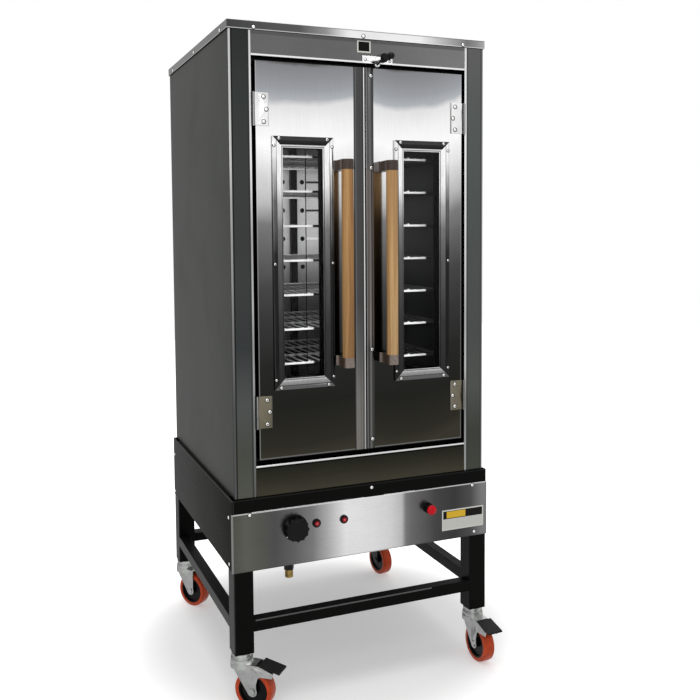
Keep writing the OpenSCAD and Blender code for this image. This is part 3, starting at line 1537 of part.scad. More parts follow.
// A brake lever between the fork's plates, with a flat pedal at its end
module pedal(i) {
    web = fork_in - web_gap;
    far_z = pedal_z - pedal_fall;
    eye = pedal_pin_d / 2 + 1.5;
    // Shares of the wheel's diameter
    outline = [[0.56, 1.015], [0.88, 1.015], [0.96, 1.06], [0.96, 1.11], [0.57, 1.2], [0.5, 1.125]];
    color([0.06, 0.06, 0.06]) at_caster(i) difference() {
        union() {
            translate([0, web, 0]) rotate([90, 0, 0]) linear_extrude(2 * web) union() {
                polygon(concat([[pedal_px, pedal_pz - eye]], wheel_d * outline, [[pedal_px, pedal_pz + eye]]));
                translate([pedal_px, pedal_pz]) circle(r = eye);
            }
            translate([0, pedal_w / 2, 0]) rotate([90, 0, 0]) linear_extrude(pedal_w)
                polygon([[pedal_near, pedal_z], [pedal_near, pedal_z - pedal_t],
                    [pedal_reach, far_z - pedal_t], [pedal_reach, far_z]]);
        }
        bar_y(pedal_px, [-fork_out, fork_out], pedal_pz, pedal_pin_d + 2 * fit_gap);
    }
}
module front_left_pedal() {
    pedal(0);
}
module front_right_pedal() {
    pedal(1);
}

stand_frame();
base_panels();
control_panel();
blank_plates();
indicator_lamps();
button_collar();
gas_inlet();
gas_thermostat();
cabinet_left_side();
cabinet_right_side();
cabinet_back();
cabinet_lid();
header_panel();
lower_front_panel();
oven_liner();
door_gasket();
fan_baffle();
fan_motor();
rack_supports();
frame_hinges();
latch_plate();
cabinet_screws();
fan_wheel();
control_knob();
push_button();
latch_lever();
left_door_skin();
left_door_back();
left_window_glass();
left_window_trim();
left_meeting_strip();
left_handle_grip();
left_handle_brackets();
left_door_hinges();
right_door_skin();
right_door_back();
right_window_glass();
right_window_trim();
right_meeting_strip();
right_handle_grip();
right_handle_brackets();
right_door_hinges();
shelf_1();
shelf_2();
shelf_3();
shelf_4();
shelf_5();
shelf_6();
shelf_7();
caster_stems();
front_left_fork();
front_right_fork();
rear_left_fork();
rear_right_fork();
front_left_wheel();
front_right_wheel();
rear_left_wheel();
rear_right_wheel();
front_left_pedal();
front_right_pedal();
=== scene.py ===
import json
import math
import bmesh
import bpy
from mathutils import Matrix, Vector


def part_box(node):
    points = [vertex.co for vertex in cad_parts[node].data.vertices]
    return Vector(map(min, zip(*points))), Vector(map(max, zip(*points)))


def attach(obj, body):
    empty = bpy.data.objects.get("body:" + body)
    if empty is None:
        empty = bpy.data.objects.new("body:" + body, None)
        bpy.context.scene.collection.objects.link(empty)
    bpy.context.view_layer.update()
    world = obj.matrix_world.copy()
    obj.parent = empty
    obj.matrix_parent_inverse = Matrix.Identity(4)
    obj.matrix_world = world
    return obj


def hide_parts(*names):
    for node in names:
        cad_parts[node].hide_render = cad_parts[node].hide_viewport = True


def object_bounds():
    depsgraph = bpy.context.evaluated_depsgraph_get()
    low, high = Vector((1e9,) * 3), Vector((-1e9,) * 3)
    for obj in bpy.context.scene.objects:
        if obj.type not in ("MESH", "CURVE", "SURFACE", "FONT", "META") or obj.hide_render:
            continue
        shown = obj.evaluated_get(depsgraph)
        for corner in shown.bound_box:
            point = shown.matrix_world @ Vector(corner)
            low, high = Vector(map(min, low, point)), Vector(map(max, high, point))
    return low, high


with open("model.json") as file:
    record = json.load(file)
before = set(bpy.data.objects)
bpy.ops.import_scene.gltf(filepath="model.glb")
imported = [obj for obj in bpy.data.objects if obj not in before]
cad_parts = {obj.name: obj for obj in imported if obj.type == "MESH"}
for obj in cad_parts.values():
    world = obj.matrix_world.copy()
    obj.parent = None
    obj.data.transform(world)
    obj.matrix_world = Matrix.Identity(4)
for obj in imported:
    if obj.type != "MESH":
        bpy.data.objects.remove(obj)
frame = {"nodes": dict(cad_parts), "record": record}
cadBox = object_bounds()
print("frame loaded")

scene = bpy.context.scene
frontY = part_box("header_panel")[0].y    # the plane of the cabinet's front

cameraSet = {
    "place": (-0.89259, -2.35047, 1.192),
    "turn": 22.65,       # degrees to the right of straight ahead
    "tilt": -3.56,
    "roll": -0.38,
    "lens": 44.79,
    "shift": -0.096,
}


def makeCamera():
    turn, tilt, roll = (math.radians(cameraSet[k]) for k in ("turn", "tilt", "roll"))
    ahead = Vector((math.sin(turn) * math.cos(tilt), math.cos(turn) * math.cos(tilt), math.sin(tilt)))
    right = Vector((math.cos(turn), -math.sin(turn), 0))
    up = right.cross(ahead)
    right, up = right * math.cos(roll) + up * math.sin(roll), up * math.cos(roll) - right * math.sin(roll)
    data = bpy.data.cameras.new("camera")
    data.lens = cameraSet["lens"]
    data.sensor_width = 36
    data.shift_y = cameraSet["shift"]
    camera = bpy.data.objects.new("camera", data)
    camera.matrix_world = Matrix.Translation(Vector(cameraSet["place"])) @ Matrix(
        (right, up, -ahead)).transposed().to_4x4()
    scene.collection.objects.link(camera)
    scene.camera = camera


makeCamera()
print("camera placed")


def feed(tree, socket, value):
    # Links a socket, or sets a plain value
    if isinstance(value, bpy.types.NodeSocket):
        tree.links.new(value, socket)
    else:
        socket.default_value = value


def feedAll(tree, node, values):
    # The values of a node's inputs by name or number
    for key, value in values.items():
        feed(tree, node.inputs[key], value)


def addNode(tree, kind, values=None, **settings):
    node = tree.nodes.new(kind)
    for key, value in settings.items():
        setattr(node, key, value)
    feedAll(tree, node, values or {})
    return node


def mathNode(tree, operation, *values):
    return addNode(tree, "ShaderNodeMath", dict(enumerate(values)), operation=operation).outputs[0]


def plus(tree, total, *others):
    for other in others:
        total = mathNode(tree, "ADD", total, other)
    return total


def times(tree, product, *others):
    for other in others:
        product = mathNode(tree, "MULTIPLY", product, other)
    return product


def minus(tree, first, second):
    return mathNode(tree, "SUBTRACT", first, second)


def vectorTimes(tree, first, second):
    node = addNode(tree, "ShaderNodeVectorMath", {0: first, 1: second}, operation="MULTIPLY")
    return node.outputs["Vector"]


def mapNode(tree, value, low, high, toLow=0.0, toHigh=1.0, smooth=False):
    return addNode(tree, "ShaderNodeMapRange", {
        "Value": value, "From Min": low, "From Max": high, "To Min": toLow, "To Max": toHigh},
        interpolation_type="SMOOTHSTEP" if smooth else "LINEAR").outputs["Result"]


def mixColour(tree, factor, first, second):
    return addNode(tree, "ShaderNodeMix", {0: factor, 6: first, 7: second}, data_type="RGBA").outputs[2]


def splitVector(tree, vector):
    return addNode(tree, "ShaderNodeSeparateXYZ", {0: vector}).outputs


def combine(tree, *values):
    return addNode(tree, "ShaderNodeCombineXYZ", dict(enumerate(values))).outputs[0]


def noiseNode(tree, vector, scale=1.0, detail=2.0, roughness=0.5, distortion=0.0):
    return addNode(tree, "ShaderNodeTexNoise", {
        "Vector": vector, "Scale": scale, "Detail": detail, "Roughness": roughness,
        "Distortion": distortion}).outputs["Fac"]


def fromNoise(tree, noise, low, high):
    # Noise lies mostly between 0.3 and 0.7
    return mapNode(tree, noise, 0.3, 0.7, low, high)


def tone(grey):
    # A grey from 0 to 255 as the screen shows it, made linear
    level = grey / 255
    return level / 12.92 if level <= 0.04045 else ((level + 0.055) / 1.055) ** 2.4


def paint(red, green=None, blue=None):
    green = red if green is None else green
    blue = green if blue is None else blue
    return tone(red), tone(green), tone(blue), 1.0


def newGroup(name, inputs, outputs, treeKind="ShaderNodeTree", outKind="Float"):
    # An input is a name, a type and a value, and an output is a name
    tree = bpy.data.node_groups.new(name, treeKind)
    rows = [("INPUT", *row) for row in inputs] + [("OUTPUT", label, outKind, None) for label in outputs]
    for way, label, kind, value in rows:
        socket = tree.interface.new_socket(name=label, in_out=way, socket_type="NodeSocket" + kind)
        if value is not None:
            socket.default_value = value
    return tree, addNode(tree, "NodeGroupInput").outputs, addNode(tree, "NodeGroupOutput").inputs


def placeGroup(tree, group, **values):
    # Input names are written without spaces in the call
    node = addNode(tree, "ShaderNodeGroup", node_tree=group)
    for socket in node.inputs:
        key = socket.name.replace(" ", "")
        key = key[0].lower() + key[1:]
        if key in values:
            feed(tree, socket, values[key])
    return node.outputs


def makeBrushGrain():
    # Fine streaks left by brushing: the stretch is large across them and small along them
    tree, given, out = newGroup("brushGrain", [
        ("Vector", "Vector", None), ("Stretch", "Vector", (60, 60, 2000)), ("Amount", "Float", 1.0)],
        ["Streaks", "Blotches"])
    fine = noiseNode(tree, vectorTimes(tree, given["Vector"], given["Stretch"]), 1.0, 3.0, 0.65)
    feed(tree, out["Streaks"], times(tree, fromNoise(tree, fine, -0.5, 0.5), given["Amount"]))
    broad = noiseNode(tree, given["Vector"], 9.0, 3.0, 0.55)
    feed(tree, out["Blotches"], fromNoise(tree, broad, -0.5, 0.5))
    return tree


def makeFacing():
    # A mask for each of the six ways that a face can look
    ways = {"Front": ("Y", -1.0), "Back": ("Y", 1.0), "Left": ("X", -1.0), "Right": ("X", 1.0),
            "Top": ("Z", 1.0), "Under": ("Z", -1.0)}
    tree, given, out = newGroup("facing", [("Normal", "Vector", None)], ways)
    parts = splitVector(tree, given["Normal"])
    for name, (axis, sign) in ways.items():
        feed(tree, out[name], mapNode(tree, times(tree, parts[axis], sign), 0.45, 0.75, smooth=True))
    return tree


def makeBand():
    # 1 where a value lies between two levels, with soft ends
    tree, given, out = newGroup("band", [
        ("Value", "Float", 0.0), ("Low", "Float", 0.0), ("High", "Float", 1.0), ("Soft", "Float", 0.0005)],
        ["Mask"])
    value, low, high, soft = (given[name] for name in ("Value", "Low", "High", "Soft"))
    rise = mapNode(tree, value, minus(tree, low, soft), low, smooth=True)
    fall = mapNode(tree, value, high, plus(tree, high, soft), 1.0, 0.0, smooth=True)
    feed(tree, out["Mask"], times(tree, rise, fall))
    return tree


def makeDust():
    # Small specks and faint smears
    tree, given, out = newGroup("dust", [("Vector", "Vector", None), ("Amount", "Float", 0.5)],
                                ["Specks", "Smears"])
    mask = mapNode(tree, noiseNode(tree, given["Vector"], 420.0, 1.0), 0.68, 0.8, smooth=True)
    feed(tree, out["Specks"], times(tree, mask, given["Amount"]))
    mask = mapNode(tree, noiseNode(tree, given["Vector"], 3.1, 4.0, 0.5, 0.8), 0.45, 0.75, smooth=True)
    feed(tree, out["Smears"], times(tree, mask, given["Amount"]))
    return tree


brushGrain = makeBrushGrain()
facing = makeFacing()
band = makeBand()
dust = makeDust()
print("shared effects built")


def between(tree, value, low, high, soft):
    return placeGroup(tree, band, value=value, low=low, high=high, soft=soft)["Mask"]


def newMaterial(name):
    material = bpy.data.materials.new(name)
    material.use_nodes = True
    tree = material.node_tree
    return material, tree, tree.nodes["Principled BSDF"], addNode(tree, "ShaderNodeTexCoord").outputs


def toneRamp(tree, coordinate, stops):
    # Colours at places along one axis, in metres
    low, high = stops[0][0], stops[-1][0]
    ramp = addNode(tree, "ShaderNodeValToRGB", {0: mapNode(tree, coordinate, low, high)})
    points = ramp.color_ramp.elements
    while len(points) < len(stops):
        points.new(0.5)
    for k, stop in enumerate(stops):
        points[k].position = (stop[0] - low) / (high - low)
        points[k].color = paint(*stop[1:])
    return ramp.outputs["Color"]


def paintFaceLight(tree, colour, sides, axes, faces):
    # Gives the faces that look one way a tone of their own, plain or along an axis: painted light and shade
    # by which way a face looks
    for face, wanted in faces.items():
        if isinstance(wanted, tuple):
            wanted = toneRamp(tree, axes[wanted[0]], wanted[1])
        else:
            wanted = paint(wanted)
        colour = mixColour(tree, sides[face], colour, wanted)
    return colour


def line(axis, place, start, end, grey, strength, face="Front"):
    # A painted highlight or painted shade line on a fold or an edge, between two distances from a place, in
    # one tone or tones by height
    return face, [(axis, place + start, place + end)], grey, strength, 0.0007


def field(spans, grey, strength, face="Front"):
    # A mark bounded on two axes
    return face, spans, grey, strength, 0.0008


def paintMarks(tree, colour, sides, axes, marks):
    for face, spans, grey, strength, soft in marks:
        mask = times(tree, sides[face], strength)
        for axis, low, high in spans:
            mask = times(tree, mask, between(tree, axes[axis], low, high, soft))
        grey = toneRamp(tree, axes["Z"], grey) if isinstance(grey, list) else paint(grey)
        colour = mixColour(tree, mask, colour, grey)
    return colour


def finishMaterial(tree, shader, height, strength, values, distance=0.0003):
    # The bump from a height, and the shader's other inputs
    bump = addNode(tree, "ShaderNodeBump", {"Strength": strength, "Distance": distance, "Height": height})
    feedAll(tree, shader, {"Normal": bump.outputs["Normal"], **values})


def steelMaterial(name, look):
    # Sheet steel: its tone runs along an axis as painted reflection and shade, with brushed streaks, and
    # painted highlights and shade lines at its folds
    material, tree, shader, place = newMaterial(name)
    where = place["Object"]
    axes = splitVector(tree, where)
    main = axes[look.get("along", "Z")]
    # The bow curves the painted reflection bands, and the wave makes their edges uneven
    if "bow" in look:
        middle, amount = look["bow"]
        off = minus(tree, axes["X"], middle)
        main = plus(tree, main, times(tree, off, off, amount))
    stretch = look.get("stretch", (900, 900, 10))
    grain = placeGroup(tree, brushGrain, vector=where, stretch=stretch, amount=1.0)
    if "wave" in look:
        main = plus(tree, main, times(tree, grain["Blotches"], look["wave"]))
    sides = placeGroup(tree, facing, normal=place["Normal"])
    colour = toneRamp(tree, main, look["tones"])
    colour = paintFaceLight(tree, colour, sides, axes, look.get("faces", {}))
    colour = paintMarks(tree, colour, sides, axes, look.get("marks", []))
    lift = plus(tree, 1.0, times(tree, grain["Streaks"], look.get("streak", 0.14)),
                times(tree, grain["Blotches"], look.get("blotch", 0.1)))
    smears = placeGroup(tree, dust, vector=where, amount=0.05)["Smears"]
    finishMaterial(tree, shader, grain["Streaks"], look.get("bump", 0.06), {
        "Base Color": vectorTimes(tree, colour, lift), "Metallic": look.get("metallic", 1.0),
        "Specular Tint": (*[look.get("rimTint", 0.6)] * 3, 1),
        "Roughness": plus(tree, look["rough"], smears, times(tree, grain["Streaks"], 0.06))})
    return material


def plainMaterial(name, look):
    # Paint, plastic, rubber or plated metal with fine unevenness
    material, tree, shader, place = newMaterial(name)
    where = place["Object"]
    noise = noiseNode(tree, where, look["grainScale"], 3.0)
    colour = paint(*look["colour"])
    # Faces that look each way get painted light and shade, and the marks are painted highlight and shade
    # lines
    if "faces" in look:
        sides, axes = placeGroup(tree, facing, normal=place["Normal"]), splitVector(tree, where)
        colour = paintFaceLight(tree, colour, sides, axes, look["faces"])
        colour = paintMarks(tree, colour, sides, axes, look.get("marks", []))
    else:
        colour = colour[:3]
    shift = look.get("variation", 0.12)
    colour = vectorTimes(tree, colour, fromNoise(tree, noise, 1 - shift, 1 + shift))
    if "patches" in look:
        scale, amount = look["patches"]
        broad = noiseNode(tree, where, scale, 3.0)
        colour = vectorTimes(tree, colour, mapNode(tree, broad, 0.35, 0.65, 1 - amount, 1 + amount))
    dusty = placeGroup(tree, dust, vector=where, amount=look.get("dust", 0.3))
    colour = mixColour(tree, times(tree, dusty["Specks"], 0.4), colour,
                       paint(*look.get("dustTone", (160, 158, 152))))
    rough = fromNoise(tree, noise, look["rough"] - 0.04, look["rough"] + 0.04)
    finishMaterial(tree, shader, noise, look.get("bump", 0.1), {
        "Base Color": colour, "Metallic": look.get("metallic", 0.0),
        "Specular IOR Level": look.get("specular", 0.5),
        "Roughness": plus(tree, rough, times(tree, dusty["Smears"], 0.15))})
    if "metallic" in look:
        feed(tree, shader.inputs["Specular Tint"], (0.6, 0.6, 0.6, 1))
    return material


def woodMaterial(name, look):
    # Turned light wood: long fibres, a few darker growth lines and small pores
    material, tree, shader, place = newMaterial(name)
    where = place["Object"]
    fibre = noiseNode(tree, vectorTimes(tree, where, (260.0, 260.0, 5.0)), 1.0, 5.0, 0.6)
    rings = noiseNode(tree, vectorTimes(tree, where, (46.0, 46.0, 1.6)), 1.0, 2.0, 0.5, 1.2)
    ringed = toneRamp(tree, rings, [(0.3, *look["dark"]), (0.5, *look["middle"]), (0.7, *look["light"])])
    # Painted shade: the wood darkens towards the bottom, down to the share given last in fade
    low, high, dull = look["fade"]
    shade = times(tree, fromNoise(tree, fibre, 0.82, 1.14),
                  mapNode(tree, splitVector(tree, where)["Z"], low, high, dull, 1.0))
    pores = noiseNode(tree, vectorTimes(tree, where, (900.0, 900.0, 60.0)), 1.0, 2.0)
    pore = times(tree, mapNode(tree, pores, 0.66, 0.74, smooth=True), 0.45)
    finishMaterial(tree, shader, fibre, 0.25, {
        "Base Color": mixColour(tree, pore, vectorTimes(tree, ringed, shade), paint(96, 68, 44)),
        "Specular IOR Level": 0.35, "Roughness": fromNoise(tree, fibre, 0.42, 0.55)})
    return material


# Painted light and shade on the shelves: tones across the wires, darker to the right, a dark front rod, and
# spans of it lit through the windows
shelfPaint = {
    "front": 0.0065,     # how deep the front rod's own tones reach
    "rod": 26, "lit": 238, "spans": [(-0.2165, -0.112), (0.112, 0.2165)],
    "wires": [(-0.25, 214), (-0.04, 200), (0.06, 160), (0.115, 58), (0.25, 50)],
}


def shelfMaterial(name, frontEdge):
    # Chromed wires: painted shade dulls them inside the cavity, and painted light brightens the front rods
    # where light falls
    material, tree, shader, place = newMaterial(name)
    where = place["Object"]
    axes = splitVector(tree, where)
    colour = toneRamp(tree, axes["X"], shelfPaint["wires"])
    rodEnd = frontEdge + shelfPaint["front"]
    rod = mapNode(tree, axes["Y"], rodEnd, rodEnd + 0.001, 1.0, 0.0)
    colour = mixColour(tree, rod, colour, paint(shelfPaint["rod"]))
    for low, high in shelfPaint["spans"]:
        lit = times(tree, rod, between(tree, axes["X"], low, high, 0.003))
        colour = mixColour(tree, lit, colour, paint(shelfPaint["lit"]))
    fine = noiseNode(tree, where, 250.0, 3.0)
    finishMaterial(tree, shader, fine, 0.05, {
        "Base Color": vectorTimes(tree, colour, fromNoise(tree, fine, 0.88, 1.1)),
        "Specular IOR Level": 0.4, "Roughness": fromNoise(tree, fine, 0.3, 0.4)})
    return material


glassSet = {
    "clear": 0.02, "thick": 0.0018,
    "low": (0.82, 0.01), "high": (1.39, 0.26),      # heights, and how much the pane shines there
}


def glassMaterial(name):
    # Clear panes: only the front of the outer pane shines with a real reflection, and its strength is painted
    # to grow towards the top
    material, tree, shader, place = newMaterial(name)
    axes = splitVector(tree, place["Object"])
    smears = placeGroup(tree, dust, vector=place["Object"], amount=0.04)["Smears"]
    (low, dull), (high, bright) = glassSet["low"], glassSet["high"]
    paneEnd = frontY + glassSet["thick"]
    shine = times(tree, mapNode(tree, axes["Y"], paneEnd, paneEnd + 0.001, 1.0, 0.0),
                  mapNode(tree, axes["Z"], low, high, dull, bright))
    feedAll(tree, shader, {
        "Base Color": (0.004, 0.005, 0.005, 1), "Roughness": plus(tree, 0.02, smears),
        "Alpha": plus(tree, shine, smears, glassSet["clear"])})
    return material


# Painted reflection and shade on the window frames: tones by height for the uprights, the cross bars and the
# lip
trimSet = {
    "outer": {"upright": [(0.80, 40), (0.86, 30), (1.13, 42), (1.19, 84), (1.26, 100), (1.32, 172),
                          (1.37, 236), (1.42, 244)],
              "cross": [(0.80, 96), (0.82, 108), (1.38, 80), (1.42, 58)]},
    "inner": {"upright": [(0.80, 44), (0.95, 56), (1.10, 88), (1.19, 116), (1.25, 180), (1.30, 238),
                          (1.42, 253)],
              "cross": [(0.80, 108), (0.82, 172), (1.39, 8), (1.406, 44)]},
    "lip": [(0.82, 180), (0.86, 120), (1.0, 60), (1.37, 60), (1.385, 214)],
    "wide": 0.0275,      # from the outer edge to the window
    "flat": 0.011, "lipWide": 0.0072, "groove": (0.0036, 0.0022), "edge": 0.0018,
}


def trimMaterial(name, node):
    # The window frame: flat outside, sloped inside, mitred at its corners, with painted reflection and shade,
    # and dark painted shade lines at its crease, groove and outer edge
    material, tree, shader, place = newMaterial(name)
    where = place["Object"]
    axes = splitVector(tree, where)
    low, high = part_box(node)
    middle, half = (low + high) / 2, (high - low) / 2

    def inside(axis):
        off = mathNode(tree, "ABSOLUTE", minus(tree, axes[axis], middle[axis]))
        return minus(tree, half[axis], off)

    def rampOf(stops):
        return toneRamp(tree, axes["Z"], stops)

    fromSide, fromEnd = inside(0), inside(2)
    nearest = mathNode(tree, "MINIMUM", fromSide, fromEnd)
    upright = mathNode(tree, "LESS_THAN", fromSide, fromEnd)
    outer, inner = (mixColour(tree, upright, rampOf(trimSet[part]["cross"]), rampOf(trimSet[part]["upright"]))
                    for part in ("outer", "inner"))
    flat = trimSet["flat"]
    colour = mixColour(tree, mapNode(tree, nearest, flat, flat + 0.0006), outer, inner)
    # Painted shade in the crease
    crease = between(tree, nearest, flat - 0.0014, flat, 0.0006)
    colour = mixColour(tree, times(tree, crease, 0.55), colour, paint(20))
    lipStart = trimSet["wide"] - trimSet["lipWide"]
    lip = times(tree, mapNode(tree, nearest, lipStart, lipStart + 0.0005), minus(tree, 1.0, upright))
    colour = mixColour(tree, lip, colour, rampOf(trimSet["lip"]))
    # Painted shade along the groove by the glass
    start, end = (trimSet["wide"] - reach for reach in trimSet["groove"])
    groove = between(tree, nearest, start, end, 0.0004)
    colour = mixColour(tree, times(tree, groove, 0.85), colour, paint(18))
    # A faint painted shade line along the outer edge
    edge = mapNode(tree, nearest, trimSet["edge"], trimSet["edge"] + 0.0006, 0.2, 0.0)
    colour = mixColour(tree, edge, colour, paint(60))
    sides = placeGroup(tree, facing, normal=place["Normal"])
    colour = paintFaceLight(tree, colour, sides, axes, {"Left": 120, "Right": 20, "Top": 60, "Under": 16})
    streaks = placeGroup(tree, brushGrain, vector=where, stretch=(300, 300, 30), amount=1.0)["Streaks"]
    finishMaterial(tree, shader, streaks, 0.05, {
        "Base Color": vectorTimes(tree, colour, plus(tree, 1.0, times(tree, streaks, 0.3))),
        "Metallic": 1.0, "Specular Tint": (0.5, 0.5, 0.5, 1),
        "Roughness": plus(tree, 0.16, times(tree, streaks, 0.06))})
    return material


def plateMaterial(name, look):
    # Plates without lettering: plain fields on a ground
    material, tree, shader, place = newMaterial(name)
    where = place["Object"]
    axes = splitVector(tree, where)
    noise = noiseNode(tree, where, 700.0, 3.0)
    colour = paint(*look["ground"])
    for x0, x1, z0, z1, tint in look["fields"]:
        across, upward = between(tree, axes["X"], x0, x1, 0.0003), between(tree, axes["Z"], z0, z1, 0.0003)
        colour = mixColour(tree, times(tree, across, upward), colour, paint(*tint))
    finishMaterial(tree, shader, noise, 0.08, {
        "Base Color": vectorTimes(tree, colour, fromNoise(tree, noise, 0.93, 1.07)),
        "Specular IOR Level": 0.08, "Roughness": fromNoise(tree, noise, 0.36, 0.44)}, distance=0.0002)
    return material


leftDoor, rightDoor, lid, header, kick, panel = (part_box(node) for node in (
    "left_door_skin", "right_door_skin", "cabinet_lid", "header_panel", "lower_front_panel", "control_panel"))
leftSide, rightSide, base, stand, leftMeet, rightMeet = (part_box(node) for node in (
    "cabinet_left_side", "cabinet_right_side", "base_panels", "stand_frame", "left_meeting_strip",
    "right_meeting_strip"))
leftGapX, rightGapX = header[0].x, header[1].x      # where the side strips end and the doors' gap begins

# A tone is a place on the axis, in metres, then a grey or a red, green and blue as the screen shows them
# Painted reflection and shade up the doors: bright near the top, dark lower down
doorTones = [
    (0.620, 56, 54, 46), (0.650, 45, 44, 38), (0.750, 34, 34, 31), (0.850, 39, 40, 38), (0.950, 54),
    (1.050, 70), (1.100, 89), (1.150, 104), (1.200, 124), (1.250, 186), (1.340, 232), (1.400, 253),
    (1.455, 240), (1.492, 226), (1.506, 176, 179, 184), (1.530, 156, 159, 164), (1.560, 143, 145, 149),
    (1.590, 132, 133, 136), (1.598, 84)]


def doorLook(box, middle, bow):
    low, high = box
    return {
        "tones": doorTones, "bow": (middle, bow), "wave": 0.012, "stretch": (1100, 1100, 12),
        "rough": 0.1, "streak": 0.12, "blotch": 0.09, "bump": 0.04, "rimTint": 0.7,
        "faces": {"Left": 22, "Right": 14, "Top": 30, "Under": 20, "Back": 90},
        # Painted highlights along the doors' side and bottom edges
        "marks": [line("X", low.x, 0, 0.002, 250, 0.16), line("X", high.x, -0.002, 0, 250, 0.1),
                  line("Z", low.z, 0, 0.003, 120, 0.6)],
    }


# Tones up the bright folds of the sides and strips: painted highlights
foldTones = {
    "outerLeft": [(0.55, 84), (0.75, 84), (0.82, 100), (0.95, 124), (1.08, 152), (1.26, 172), (1.35, 204),
                  (1.62, 200)],
    "innerLeft": [(0.55, 98), (0.73, 126), (0.82, 160), (0.91, 152), (1.0, 182), (1.17, 170), (1.26, 206),
                  (1.35, 240), (1.62, 214)],
    "innerRight": [(0.62, 150), (0.73, 134), (0.82, 188), (0.95, 174), (1.08, 204), (1.26, 224),
                   (1.44, 238), (1.62, 226)],
    "meeting": [(0.62, 176), (0.8, 196), (1.0, 236), (1.6, 246)],
}
sideSheet = {"rough": 0.3, "streak": 0.05, "blotch": 0.05, "rimTint": 0.45}
sideFaces = {"Back": 84, "Top": 60, "Under": 20}
stripSheet = {"rough": 0.22, "streak": 0.1}
cavitySheet = {"rough": 0.4, "metallic": 0.2, "stretch": (900, 10, 900)}
hingeSet = {
    "leafEdge": 0.252, "pin": 0.2902,       # both sides, from the middle
    # Painted shade, highlight and shade in bands across each hinge barrel
    "barrel": [(0.2868, 0.2890, 60), (0.2890, 0.2915, 150), (0.2915, 0.2946, 54)],
    "screws": [(0.0262, -0.03), (0.0327, 0.0), (0.0262, 0.03)],     # inward from the pin, and up
    "out": 0.002, "radius": 0.0047, "height": 0.0022,
}
# Small marks on the baffle just under shelves 5 to 7: dark under 6 and 7, and under 5 a near white patch of
# painted light
baffleMarks = {"across": (0.046, 0.088), "under": (0.0378, 0.0322), "greys": {7: 12, 6: 14, 5: 250}}
# A painted highlight line along the stand's lower front rail
railMark = {"up": (0.0808, 0.0842), "across": (-0.302, 0.19)}


def baffleMark(shelf, grey):
    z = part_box("shelf_%d" % shelf)[0].z
    start, end = baffleMarks["under"]
    return field([("X", *baffleMarks["across"]), ("Z", z - start, z - end)], grey, 0.95)


def barrelLine(side, start, end, grey):
    return line("X", 0, min(side * start, side * end), max(side * start, side * end), grey, 0.85)


